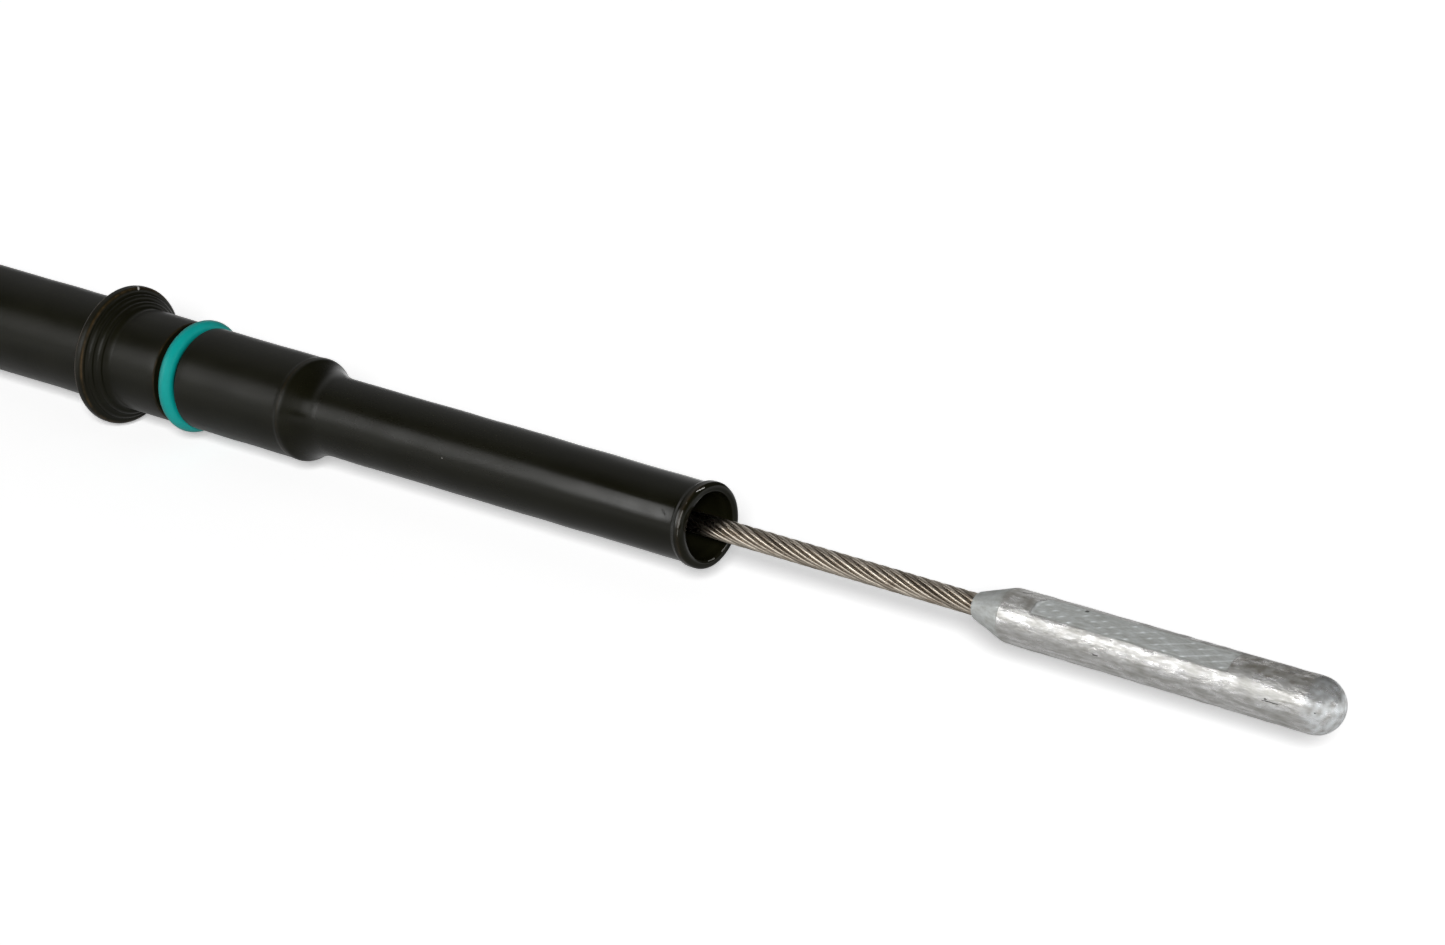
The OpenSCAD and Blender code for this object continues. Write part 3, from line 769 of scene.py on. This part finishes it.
def wires(count, pitch_r, lay, step, sides, seed):
    """Grids of helical wires, centre (x, R cos a, R sin a) with a = 2 pi x / lay + offset, and
    a tone from 0 to 1 for each wire."""
    x = np.arange(rope_low[0], rope_high[0] + step / 2, step)
    x[-1] = rope_high[0]
    around = np.linspace(0, 2 * np.pi, sides, endpoint=False)
    tones = np.random.default_rng(seed).uniform(0, 1, count)
    grids, tone_grids = [], []
    for k in range(count):
        a = 2 * np.pi * (x / lay + k / count)
        outwards = np.stack([0 * a, np.cos(a), np.sin(a)], axis=-1)
        along = np.stack([1 + 0 * a, -2 * np.pi * pitch_r / lay * np.sin(a),
                          2 * np.pi * pitch_r / lay * np.cos(a)], axis=-1)
        along /= np.linalg.norm(along, axis=1)[:, None]
        across = np.cross(along, outwards)
        centre = np.stack([x, pitch_r * np.cos(a), pitch_r * np.sin(a)], axis=-1)
        ring = (np.cos(around)[None, :, None] * outwards[:, None]
                + np.sin(around)[None, :, None] * across[:, None])
        skin = centre[:, None] + WIRE_SHARE * WIRE_R * ring
        ends = np.repeat(centre[:, None], sides, axis=1)
        grids.append((np.concatenate([ends[:1], skin, ends[-1:]]), False, True))
        tone_grids.append(np.full((len(x) + 2) * sides, tones[k]))
    return grids, np.concatenate(tone_grids)


for name, node, layer in (
        ("outer_wires", "rope_outer_wires",
         wires(12, pitch_r=4 * WIRE_R, lay=LAY, step=0.7, sides=12, seed=1)),
        ("inner_wires", "rope_inner_wires",
         wires(6, pitch_r=2 * WIRE_R, lay=-LAY, step=1.2, sides=8, seed=2)),
        ("core_wire", "rope_core_wire",
         wires(1, pitch_r=0.0, lay=LAY, step=20.0, sides=8, seed=3))):
    make_piece(name, layer[0], "dipstick", [node], rope_steel, "rope_steel", tone=layer[1])

# %% [markdown]
# ## The crimp sleeve
# The sleeve is a short steel tube. Three rings are pressed into it to grip the rope, and they are
# part of its outline, so nothing has to be cut.

# %% Crimp sleeve
SLEEVE_R = sleeve_high[2]
SLEEVE_OUT, SLEEVE_ROUND = 14.0, 0.4
CRIMP_COUNT, CRIMP_PITCH, CRIMP_DEPTH, CRIMP_FLAT = 3, 3.6, 0.35, 1.2


def sleeve_profile():
    """The sleeve's outline with its crimped rings, and back along its bore."""
    middle = sleeve_high[0] - SLEEVE_OUT / 2
    rings = []
    for k in range(CRIMP_COUNT):
        x = middle + (k - (CRIMP_COUNT - 1) / 2) * CRIMP_PITCH
        half, low = CRIMP_FLAT / 2, SLEEVE_R - CRIMP_DEPTH
        rings += [blend([SLEEVE_R, x - half - CRIMP_DEPTH], [low, x - half], 0.5, 4),
                  blend([low, x + half], [SLEEVE_R, x + half + CRIMP_DEPTH], 0.5, 4)]
    return np.concatenate([[[rope_r, sleeve_low[0]], [SLEEVE_R, sleeve_low[0]]], *rings,
                           arc([SLEEVE_R - SLEEVE_ROUND, sleeve_high[0] - SLEEVE_ROUND],
                               SLEEVE_ROUND, 0, 90, 4),
                           [[rope_r, sleeve_high[0]]]])


make_piece("crimped_sleeve", [(turned(refine(sleeve_profile(), 1.0), 96), True, True)],
           "dipstick", ["crimp_sleeve"], plated, "plated_steel")

# %% [markdown]
# ## The gauge tip
# The tip is an outline turned round, then cut by one flat, which is the window that the oil is read
# on. On the flat stand small raised dashes in crossing rows, and a fine groove runs along each of
# its long edges. The uneven skin of the round side is a swell of a few hundredths of a
# millimetre. The flat could be cut with a Boolean modifier, but taking the smaller of two radii
# at each point keeps the faces even, and even faces can carry the hatch.

# %% Gauge tip sizes
TIP_R, TIP_SMALL_R, TIP_CONE = 3.065, 1.6, 4.7
WINDOW_X, WINDOW_LEN, WINDOW_DEPTH = 8.8, 26.3, 0.3
WINDOW_TURN = np.radians(26.0)
HATCH_SPACING, HATCH_SLOPE = 0.95, np.radians(22.0)
DASH_HEIGHT, DASH_LEN, DASH_W = 0.06, 0.34, 0.11
WINDOW_ROUND = 1.3
EDGE_GROOVE, EDGE_GROOVE_W = 0.05, 0.13
SKIN_SWELL, SKIN_FINE = 0.016, 0.006
TIP_COLUMNS = 220
dome_r = tip_high[1]
window_x, window_end_x = tip_x + WINDOW_X, tip_x + WINDOW_X + WINDOW_LEN


def tip_profile():
    """Blunt end, cone, slightly swelling round side and half-round dome, finest in the window."""
    cone = np.concatenate([
        [[rope_r, tip_x + 0.5], [rope_r, tip_x + 0.1], [rope_r + 0.1, tip_x]],
        arc([TIP_SMALL_R - 0.15, tip_x + 0.15], 0.15, -90, -20, 3)])
    edge = blend([TIP_R - 0.06, tip_x + TIP_CONE - 0.19], [TIP_R, tip_x + TIP_CONE + 0.1], 0.5, 3)
    dome = arc([0, tip_end_x - dome_r], dome_r, 0, 90, 30)

    def on_side(x):
        """Radius of the side, straight from the cone's end to the dome."""
        run = (x - tip_x - TIP_CONE) / (tip_end_x - dome_r - tip_x - TIP_CONE)
        return TIP_R + (dome_r - TIP_R) * run

    window = np.linspace(window_x - 0.3, window_end_x + 0.3, int((WINDOW_LEN + 0.6) / 0.1))
    before = refine(np.concatenate([cone, edge, [[on_side(window[0]), window[0]]]]), 0.25)[:-1]
    after = refine(np.concatenate([[[on_side(window[-1]), window[-1]]], dome]), 0.25)[1:]
    return np.concatenate([before, np.stack([on_side(window), window], axis=-1), after])


def hatch(x, across):
    """Raised dashes where two sets of parallel lines cross: e^-(u / length)^2 - (v / width)^2
    round each crossing, each dash along the first set, whose lines run on towards the dome."""
    c, s = np.cos(HATCH_SLOPE), np.sin(HATCH_SLOPE)
    one = ((x - window_x) * s + across * c) / HATCH_SPACING
    two = ((x - window_x) * s - across * c) / HATCH_SPACING
    off_one, off_two = (one - np.round(one)) * HATCH_SPACING, (two - np.round(two)) * HATCH_SPACING
    dx = (off_one + off_two) / (2 * s)
    dy = (off_one - off_two) / (2 * c)
    along, off = dx * c - dy * s, dx * s + dy * c
    cell = np.round(one) * 7.3 + np.round(two) * 3.1
    uneven = 0.6 + 0.4 * np.sin(cell * 12.9)
    dash = uneven * np.exp(-(along / DASH_LEN) ** 2 - (off / DASH_W) ** 2)
    run = (smooth_step(x, window_x + 4, window_x + 22)
           * (0.55 + 0.45 * np.sin(np.round(one) * 2.4 + x / 1.7)))
    line = 0.6 * run * np.exp(-(off_one / (0.8 * DASH_W)) ** 2)
    other = 0.2 * run * np.exp(-(off_two / (0.8 * DASH_W)) ** 2)
    return np.maximum(np.maximum(dash, line), other)


def tip_surface(profile):
    """The turned outline, cut by the flat at r = (flat's height) / cos(angle from its middle),
    with hatch, grooves and swell. Also the numbers that the zinc finish reads."""
    angle = np.linspace(0, 2 * np.pi, TIP_COLUMNS, endpoint=False)
    radius, x = profile[:, :1] + 0 * angle, profile[:, 1:] + 0 * angle
    # the window faces up and turned towards the ear's side: (y, z) = (-sin t, cos t)
    side = angle - (np.pi / 2 + WINDOW_TURN)
    facing = np.cos(side) > 0.5
    flat_r = np.where(facing, (TIP_R - WINDOW_DEPTH) / np.where(facing, np.cos(side), 1), np.inf)
    on_flat = flat_r < radius
    # mm across the flat, and how far a point is inside its nearer long edge
    across = np.minimum(flat_r, radius) * np.sin(side)
    half = np.sqrt(TIP_R ** 2 - (TIP_R - WINDOW_DEPTH) ** 2)
    to_edge = half - np.abs(across)
    rounded_x = window_x + WINDOW_ROUND * np.clip(-across / half, 0, 1.2) ** 2
    inside = (smooth_step(x, rounded_x, rounded_x + 0.22)
              * (1 - smooth_step(x, window_end_x - 0.12, window_end_x)))
    raised = hatch(x, across) * smooth_step(to_edge, 0.1, 0.3) * on_flat * inside
    groove = EDGE_GROOVE * np.exp(-((to_edge - EDGE_GROOVE_W) / (0.6 * EDGE_GROOVE_W)) ** 2)
    cut = np.where(on_flat, flat_r + (DASH_HEIGHT * raised - groove) / np.cos(side), radius)
    final = radius + (np.minimum(cut, radius) - radius) * inside
    points = np.stack([x, final * np.cos(angle), final * np.sin(angle)], axis=-1)
    round_part = (radius > rope_r + 0.2) * (1 - 0.7 * inside * on_flat)
    final = final + round_part * (SKIN_SWELL * lumps(points, 2.4, 5)
                                  + SKIN_FINE * lumps(points, 0.9, 6) - SKIN_SWELL)
    points = np.stack([x, final * np.cos(angle), final * np.sin(angle)], axis=-1)
    rim = np.exp(-((x - rounded_x - 0.12) / 0.10) ** 2) * (flat_r < radius + 0.02)
    rim = rim * (0.35 + 0.25 * lumps(points, 0.8, 11))
    on_cone = 1 - smooth_step(x, tip_x + TIP_CONE - 0.2, tip_x + TIP_CONE + 0.2)
    # the raised number whitens dashes, window edge and dome: rubbed metal, with painted glints and
    # a painted highlight
    return points, {"matt": np.maximum(on_cone, inside * on_flat),
                    "raised": np.maximum(np.maximum(raised, rim), rubbed_dome_and_highlight(points)),
                    "stained": stained_strip(points, angle)}


def rubbed_dome_and_highlight(points):
    """Up to 0.75 on the dome, in patches: the end that touched the sump was rubbed bright, and its
    bluish white is also a painted highlight.
    """
    on_dome = smooth_step(points[..., 0], tip_end_x - 3.3, tip_end_x - 1.8)
    return 0.75 * on_dome * (0.6 + 0.4 * lumps(points, 1.0, 13))


def stained_strip(points, angle):
    """1 on the strip of round side before and after the window, which was never rubbed and
    kept its stains: smooth steps over the angle, shaken by lumps, times steps over x."""
    x = points[..., 0]
    turned_by = np.degrees(angle) - 90 + 5 * lumps(points, 1.6, 12)
    strip = smooth_step(turned_by, -45, -20) * (1 - smooth_step(turned_by, 36, 41))
    cone_end_x = tip_x + TIP_CONE
    before = (smooth_step(x, cone_end_x - 1, cone_end_x)
              * (1 - smooth_step(x, window_x - 0.6, window_x - 0.1)))
    after = (smooth_step(x, window_end_x, window_end_x + 0.2)
             * (1 - smooth_step(x, window_end_x + 8.8, window_end_x + 11)))
    return strip * np.maximum(0.7 * before, after)


tip_grid, tip_numbers = tip_surface(tip_profile())
make_piece("zinc_tip", [(tip_grid, False, True)], "dipstick", ["gauge_tip"], zinc, "cast_zinc",
           **tip_numbers)

# %% [markdown]
# ## The bracket and its welds
# The bracket is a pressed plate with one bolt hole. It could be an outline that is made thick and
# bevelled, but the plate is a grid too: its columns run from the hole's edge to the plate's edge,
# and its rows go round the section, over the top face, down the rounded edge and back along the
# bottom. So the hole, the rounded edges and their wear come in one piece.

# %% Bracket
BRACKET_X, PLATE_HALF, PLATE_BACK, CORNER_R = (plate_low[0] + plate_high[0]) / 2, 13.0, 9.0, 3.0
EAR_REACH, EAR_R, HOLE_R = 18.0, 9.0, 3.3
EDGE_ROUND, HOLE_ROUND = 0.5, 0.3
PLATE_COLUMNS = 220


def plate_outline():
    """The plate's edge seen from above, as points [x, y] at even steps, anticlockwise: a square
    root with two round corners, and straight sides that touch the round ear."""
    corner = np.array([PLATE_HALF - CORNER_R, PLATE_BACK - CORNER_R])
    reach = np.array([PLATE_HALF, EAR_REACH - TUBE_R])
    touch = np.degrees(np.arctan2(reach[1], reach[0])
                       - np.arccos(EAR_R / np.linalg.norm(reach)))
    line = np.concatenate([
        arc(corner, CORNER_R, 0, 90, 12), arc(corner * [-1, 1], CORNER_R, 90, 180, 12),
        [[-PLATE_HALF, -TUBE_R]],
        arc([0, -EAR_REACH], EAR_R, 180 - touch, 360 + touch, 60), [[PLATE_HALF, -TUBE_R]]])
    line = np.concatenate([line, line[:1]])
    run = np.concatenate([[0], np.cumsum(np.linalg.norm(np.diff(line, axis=0), axis=1))])
    even = np.linspace(0, run[-1], PLATE_COLUMNS, endpoint=False)
    return np.stack([np.interp(even, run, line[:, 0]), np.interp(even, run, line[:, 1])], axis=-1)


def plate_grid():
    """Rows of the section, as (share from hole to edge, inset, z), laid along every column."""
    edge = plate_outline()
    step = np.roll(edge, -1, axis=0) - np.roll(edge, 1, axis=0)
    inwards = np.stack([-step[:, 1], step[:, 0]], axis=-1)
    inwards /= np.linalg.norm(inwards, axis=1)[:, None]
    away = edge - [0, -EAR_REACH]
    away /= np.linalg.norm(away, axis=1)[:, None]
    hole = np.array([0, -EAR_REACH]) + HOLE_R * away
    bottom, top = plate_low[2], plate_high[2]
    turn = np.radians(np.linspace(0, 90, 5))
    rows = []
    for a in turn:
        rows.append((hole + HOLE_ROUND * (1 - np.cos(a)) * away,
                     top - HOLE_ROUND * (1 - np.sin(a))))
    near, far = hole + HOLE_ROUND * away, edge + EDGE_ROUND * inwards
    for t in np.linspace(0, 1, 10)[1:-1]:
        rows.append((near + (far - near) * t, top))
    for a in turn:
        rows.append((edge + EDGE_ROUND * (1 - np.sin(a)) * inwards,
                     top - EDGE_ROUND * (1 - np.cos(a))))
    middle = (top + bottom) / 2
    rows += [(outline, 2 * middle - z) for outline, z in rows[::-1]]
    grid = np.stack([np.column_stack([outline, np.full(len(outline), z)])
                     for outline, z in rows])
    grid[..., 0] += BRACKET_X
    return grid


plate = plate_grid()
# the edges are worn where they round over, and the flat top between them isn't
FLAT_ROWS = slice(5, 13)
plate_worn = 0.7 * np.exp(-((plate[..., 2] - plate_high[2] + 0.15) / 0.25) ** 2)
plate_worn[FLAT_ROWS] = 0
make_piece("bracket_plate", [(plate, True, True)], "guide", ["mounting_bracket"], paint,
           "black_paint", worn=plate_worn)

# %% [markdown]
# A weld bead is a round rod of metal that froze in steps, so its skin has crescents along it, and
# it shrinks to nothing at both ends.

# %% Welds
BEAD_R, BEAD_Y, BEAD_Z = 1.28, 3.75, -5.05
RIPPLE, RIPPLE_PITCH, RIPPLE_BOW = 0.09, 1.15, 0.45
BEAD_END, BEAD_SWELL = 0.15, 0.05


def bead(side):
    """A rod along X whose radius carries a saw of crescents: each starts high and falls back."""
    x = np.linspace(weld_low[0], weld_high[0], 150)[:, None]
    turn = np.linspace(0, 2 * np.pi, 40, endpoint=False)[None, :]
    middle, half = (weld_low[0] + weld_high[0]) / 2, (weld_high[0] - weld_low[0]) / 2
    ends = np.sqrt(np.clip(1 - np.abs((x - middle) / half) ** 6, 0, 1))
    phase = (x + RIPPLE_BOW * np.sin(turn) ** 2) / RIPPLE_PITCH
    crescent = RIPPLE * np.sqrt(1 - (phase - np.floor(phase)))
    r = (BEAD_R - RIPPLE + crescent) * (BEAD_END + (1 - BEAD_END) * ends)
    grid = np.stack([x + 0 * turn, side * (BEAD_Y + r * np.cos(turn)), BEAD_Z + r * np.sin(turn)],
                    axis=-1)
    grid[..., 1:] += (BEAD_SWELL * lumps(grid, 3.0, 9))[..., None] * [side, 1]
    ends = np.repeat(grid[[0, -1]].mean(axis=1, keepdims=True), grid.shape[1], axis=1)
    return np.concatenate([ends[:1], grid, ends[1:]]), False, True


make_piece("weld_beads", [bead(-1), bead(1)], "guide", ["bracket_welds"], weld_steel,
           "black_paint")

# %% [markdown]
# ## The handle
# The handle is one moulding, with soft corners where its parts meet. A copy of its solid is cut
# into even small faces, and every point then moves towards the middle of its neighbours a few
# times. That rounds the corners by about half a millimetre. The plug keeps its edges, because it
# has to fit the cup and its seals.

# %% Handle
VOXEL = 0.3 * MM
SMOOTHING, PLUG_AMOUNT, RING_AMOUNT = 14, 0.04, 0.54


def even_faces(source):
    """A closed copy of a solid's mesh, remade of even square faces of the voxel's size."""
    copy = source.data.copy()
    shaped = bmesh.new()
    shaped.from_mesh(copy)
    bmesh.ops.remove_doubles(shaped, verts=shaped.verts, dist=1e-6)
    shaped.to_mesh(copy)
    shaped.free()
    helper = bpy.data.objects.new("even_faces", copy)
    bpy.context.scene.collection.objects.link(helper)
    remesh = helper.modifiers.new("even", "REMESH")
    remesh.mode = "VOXEL"
    remesh.voxel_size = VOXEL
    depsgraph = bpy.context.evaluated_depsgraph_get()
    mesh = bpy.data.meshes.new_from_object(helper.evaluated_get(depsgraph))
    bpy.data.objects.remove(helper)
    return mesh


def smooth_points(mesh):
    """Moves each point towards the mean of its neighbours several times, less on the plug."""
    points = np.empty(len(mesh.vertices) * 3)
    mesh.vertices.foreach_get("co", points)
    points = points.reshape(-1, 3)
    edges = np.empty(len(mesh.edges) * 2, int)
    mesh.edges.foreach_get("vertices", edges)
    edges = edges.reshape(-1, 2)
    count = np.bincount(edges.ravel(), minlength=len(points))[:, None]
    on_plug = smooth_step(points[:, :1] / MM, rim_x - 1.2, rim_x)
    share = RING_AMOUNT + (PLUG_AMOUNT - RING_AMOUNT) * on_plug
    for _ in range(SMOOTHING):
        total = np.zeros_like(points)
        for axis in range(3):
            total[:, axis] = (np.bincount(edges[:, 0], points[edges[:, 1], axis], len(points))
                              + np.bincount(edges[:, 1], points[edges[:, 0], axis], len(points)))
        points += share * (total / count - points)
    mesh.vertices.foreach_set("co", points.ravel())
    mesh.update()


handle_mesh = even_faces(nodes["handle"])
smooth_points(handle_mesh)
handle_mesh.materials.clear()
place_piece("moulded_handle", handle_mesh, "dipstick", ["handle"], yellow_plastic)

# %% [markdown]
# ## The floor
# The bracket's pad rests on a level white floor. Under the handle the floor sinks by 9 mm in a
# slope too gentle to see, so that the ring has room when it is turned on edge. For lamps and
# for light that bounces, the floor is plain matt white. To the camera and in reflections it shows
# mostly a glow of its own, and a matt share that darkens where the lamp's light is kept from it,
# so that the shadow stays.
# In reflections the glow also fades where the ray is short: a painted shade under the pieces.

# %% Floor
FLOOR_HALF = 30000.0
SEEN_SHARE, SEEN_GLOW = 1.30, 0.32
REFLECTED_SHARE, REFLECTED_GLOW = 0.80, 0.54
# ray lengths over which the reflected glow fades in, a painted shade near the pieces
SHADE_FADE_NEAR, SHADE_FADE_FAR = 0.012, 0.055  # metres


def floor_finish():
    """Matt white for bounced light; a glow and a strong matt share for what looks at it, with the
    glow in reflections faded near the pieces as a painted shade.
    """
    material, tree, shader = new_material("floor_white", specular=0.0)
    shader.inputs["Base Color"].default_value = (0.8, 0.8, 0.8, 1)
    shader.inputs["Roughness"].default_value = 1.0
    paths = tree.nodes.new("ShaderNodeLightPath")
    seen = paths.outputs["Is Camera Ray"]
    diffuse = tree.nodes.new("ShaderNodeBsdfDiffuse")
    fill(tree, diffuse.inputs["Color"],
         scaled(tree, seen, 0.0, 1.0, REFLECTED_SHARE, SEEN_SHARE))
    # in reflections the floor is white from 55 mm away, and dimmer right under a piece: a painted
    # shade, set by the ray's length and not by light
    far = scaled(tree, paths.outputs["Ray Length"], SHADE_FADE_NEAR, SHADE_FADE_FAR, 0.0,
                 REFLECTED_GLOW)
    # the slope is shaded as if it were level, so that it doesn't show as a band
    level = tree.nodes.new("ShaderNodeCombineXYZ")
    level.inputs[2].default_value = 1.0
    fill(tree, diffuse.inputs["Normal"], level.outputs[0])
    fill(tree, shader.inputs["Normal"], level.outputs[0])
    glow = tree.nodes.new("ShaderNodeEmission")
    fill(tree, glow.inputs["Strength"],
         maths(tree, "ADD", maths(tree, "MULTIPLY", seen, SEEN_GLOW),
               maths(tree, "MULTIPLY", maths(tree, "SUBTRACT", 1.0, seen), far)))
    both = tree.nodes.new("ShaderNodeAddShader")
    fill(tree, both.inputs[0], diffuse.outputs[0])
    fill(tree, both.inputs[1], glow.outputs[0])
    mix = tree.nodes.new("ShaderNodeMixShader")
    fill(tree, mix.inputs[0], together(tree, [seen, paths.outputs["Is Glossy Ray"],
                                              paths.outputs["Is Transmission Ray"]]))
    fill(tree, mix.inputs[1], shader.outputs[0])
    fill(tree, mix.inputs[2], both.outputs[0])
    fill(tree, tree.nodes["Material Output"].inputs["Surface"], mix.outputs[0])
    return material


# %% Floor shape
FLOOR_Z, SUNK_Z = plate_low[2], -17.8
SLOPE_X = (-185.0, -80.0)


def floor_grid():
    """Lines along Y at rising x, with z = sunk + (level - sunk) * smooth step over the slope."""
    x = np.concatenate([[-FLOOR_HALF], np.linspace(*SLOPE_X, 40), [FLOOR_HALF]])
    z = SUNK_Z + (FLOOR_Z - SUNK_Z) * smooth_step(x, *SLOPE_X)
    sides = np.array([FLOOR_HALF, -FLOOR_HALF])[:, None]
    return np.stack(np.broadcast_arrays(x, sides, z), axis=-1)


floor_points = floor_grid()
floor_mesh = bpy.data.meshes.new("floor")
floor_mesh.from_pydata(floor_points.reshape(-1, 3) * MM, [],
                       grid_faces(*floor_points.shape[:2], False, False))
floor_mesh.materials.append(floor_finish())
floor = bpy.data.objects.new("floor", floor_mesh)
bpy.context.scene.collection.objects.link(floor)
print(f"Floor at z = {FLOOR_Z:.1f} mm, and {SUNK_Z:.1f} mm under the handle")

# %% [markdown]
# ## The light
# The world is white to the camera and in reflections. As light, it is bright near the horizon and
# dim above, like a room with white walls. One sun-like lamp stands a little above the camera's own
# height and on its side, so the shadow falls close behind and shows as a soft edge below each
# piece. The lamp itself isn't reflected.

# %% World
ROOM_LOW, ROOM_HIGH = 0.9, 0.08
ROOM_LOW_Z, ROOM_HIGH_Z = 0.1, 0.5  # heights on a sphere of radius 1


def room_light():
    """White where it is looked at; as light, it falls from the horizon to the zenith."""
    world = bpy.data.worlds.new("studio")
    bpy.context.scene.world = world
    world.use_nodes = True
    sky = world.node_tree
    paths = sky.nodes.new("ShaderNodeLightPath")
    seen = together(sky, [paths.outputs["Is Camera Ray"], paths.outputs["Is Glossy Ray"],
                          paths.outputs["Is Transmission Ray"]])
    split = sky.nodes.new("ShaderNodeSeparateXYZ")
    fill(sky, split.inputs[0], sky.nodes.new("ShaderNodeTexCoord").outputs["Generated"])
    level = scaled(sky, split.outputs["Z"], ROOM_LOW_Z, ROOM_HIGH_Z, ROOM_LOW, ROOM_HIGH)
    both = sky.nodes.new("ShaderNodeMix")
    both.data_type = "FLOAT"
    fill(sky, both.inputs["Factor"], seen)
    fill(sky, both.inputs[2], level)
    fill(sky, both.inputs[3], 1.0)
    fill(sky, sky.nodes["Background"].inputs["Strength"], both.outputs[0])
    sky.nodes["Background"].inputs["Color"].default_value = (1, 1, 1, 1)


room_light()
print(f"Room light from {ROOM_LOW} at the horizon to {ROOM_HIGH} overhead")

# %% Lamp
LAMP_RISE, LAMP_WIDTH, LAMP_LEVEL = np.radians(23.2), np.radians(10.5), 1.0

lamp_data = bpy.data.lights.new("front_lamp", "SUN")
lamp_data.energy = LAMP_LEVEL * np.pi
lamp_data.angle = LAMP_WIDTH
lamp = bpy.data.objects.new("front_lamp", lamp_data)
towards = Vector((np.cos(LAMP_RISE) * np.sin(CAMERA_TURN),
                  -np.cos(LAMP_RISE) * np.cos(CAMERA_TURN), np.sin(LAMP_RISE)))
lamp.location = towards
lamp.rotation_euler = towards.to_track_quat("Z", "Y").to_euler()
lamp.visible_glossy = False
bpy.context.scene.collection.objects.link(lamp)
print(f"Lamp {np.degrees(LAMP_RISE):.1f} degrees above the floor")

# %% [markdown]
# What polished and painted metal shows is the room that it reflects. A long curved screen stands
# over the pieces, seen only in reflections: a grey ceiling overhead, a dark stretch in front of it,
# and low at the front a bright softbox that reaches down to the floor. The softbox is brightest
# opposite the tube's mouth. Opposite the gauge tip the ceiling is brighter and the softbox taller,
# and past the tip the softbox is a narrower band. Each table pairs a place with a level: places
# along X in mm, or turns in degrees from overhead down to the front.

# %% Screen that is only reflected
SCREEN_R = 500.0
SCREEN_X = np.linspace(-1500.0, 1200.0, 136)
SCREEN_TURN = np.linspace(-90.0, 91.0, 182)
CEILING, DARK = 0.33, 0.03
TIP_CEILING, TIP_DARK = 0.90, 0.7
PAST_TIP_UPPER = 0.07
SOFT_LEVEL = [(-400, 1.0), (-220, 0.6), (-100, 0.8), (-50, 2.0), (5, 2.7), (50, 2.8), (66, 4.5),
              (78, 10.0), (88, 22.0), (98, 16.0), (112, 2.0), (130, 1.25), (185, 1.2), (240, 3.8),
              (300, 3.0), (420, 1.4), (900, 1.1)]
SOFT_TURN = [(44, 0), (48, 0.5), (58, 0.8), (66, 1.0), (78, 1.0), (86, 0.4), (91, 0.2)]
TIP_TURN = [(36, 0), (46, 0.75), (60, 1.0), (91, 1.0)]
PAST_TIP_TURN = [(46, 0), (54, 0.7), (62, 1.0), (74, 1.0), (84, 0.08)]
BEHIND_LEVEL = [(0, 0.2), (50, 0.3), (85, 0.5), (150, 1.0)]
UPPER_TURN, BEHIND_TURN = [(-5, 0), (30, 1)], [(-65, 1), (-40, 0)]


def looked_up(value, table):
    """Straight lines between the table's pairs of place and level, and level beyond its ends."""
    return np.interp(value, *np.transpose(table))


def screen_level(x, turn):
    """Brightness of the screen; x is where its light meets the camera's reflection on the
    tube, and turn runs in degrees from overhead down to the front."""
    by_tip, past_tip = smooth_step(x, 100, 150), smooth_step(x, 190, 260)
    shape = looked_up(turn, SOFT_TURN)
    shape += by_tip * (looked_up(turn, TIP_TURN) - shape)
    shape += past_tip * (looked_up(turn, PAST_TIP_TURN) - shape)
    ceiling = CEILING + (TIP_CEILING - CEILING) * by_tip
    dark = DARK + (TIP_DARK - DARK) * by_tip
    upper = ceiling + (dark - ceiling) * looked_up(turn, UPPER_TURN)
    upper += (looked_up(x, BEHIND_LEVEL) - upper) * looked_up(turn, BEHIND_TURN)
    upper *= 1 - (1 - PAST_TIP_UPPER) * past_tip
    return np.maximum(upper, looked_up(x, SOFT_LEVEL) * shape)


def reflecting_screen():
    """A grid on a cylinder about the X axis, whose glow is the number "level" at each point."""
    turn, x = np.meshgrid(SCREEN_TURN, SCREEN_X, indexing="ij")
    a = np.radians(turn)
    points = np.stack([x, -SCREEN_R * np.sin(a), SCREEN_R * np.cos(a)], axis=-1)
    # a ray from the camera that meets the tube at x leaves towards this much smaller x
    shift = SCREEN_R * to_camera[0] / np.hypot(to_camera[1], to_camera[2])
    mesh = bpy.data.meshes.new("screen")
    mesh.from_pydata(points.reshape(-1, 3) * MM, [], grid_faces(*turn.shape, False, False))
    level = mesh.attributes.new("level", "FLOAT", "POINT")
    level.data.foreach_set("value", screen_level(x + shift, turn).ravel())
    material = bpy.data.materials.new("screen_glow")
    material.use_nodes = True
    tree = material.node_tree
    tree.nodes.remove(tree.nodes["Principled BSDF"])
    glow = tree.nodes.new("ShaderNodeEmission")
    amount = tree.nodes.new("ShaderNodeAttribute")
    amount.attribute_name = "level"
    # dark to light that has already left a matt skin, so no bright spots fall on the floor
    paths = tree.nodes.new("ShaderNodeLightPath")
    bounced = maths(tree, "MINIMUM", paths.outputs["Diffuse Depth"], 1.0)
    direct = maths(tree, "SUBTRACT", 1.0, bounced)
    fill(tree, glow.inputs["Strength"], maths(tree, "MULTIPLY", amount.outputs["Fac"], direct))
    fill(tree, tree.nodes["Material Output"].inputs["Surface"], glow.outputs[0])
    material.cycles.emission_sampling = "NONE"
    mesh.materials.append(material)
    screen = bpy.data.objects.new("screen", mesh)
    bpy.context.scene.collection.objects.link(screen)
    screen.visible_camera = screen.visible_diffuse = screen.visible_shadow = False
    screen.visible_transmission = screen.visible_volume_scatter = False


reflecting_screen()
print(f"Screen of {len(SCREEN_X)} x {len(SCREEN_TURN)} points, {SCREEN_R:.0f} mm away")

# %% [markdown]
# ## The last step
# Colours are shown as they are, without a film curve.

# %% Look
bpy.context.scene.view_settings.view_transform = "Standard"
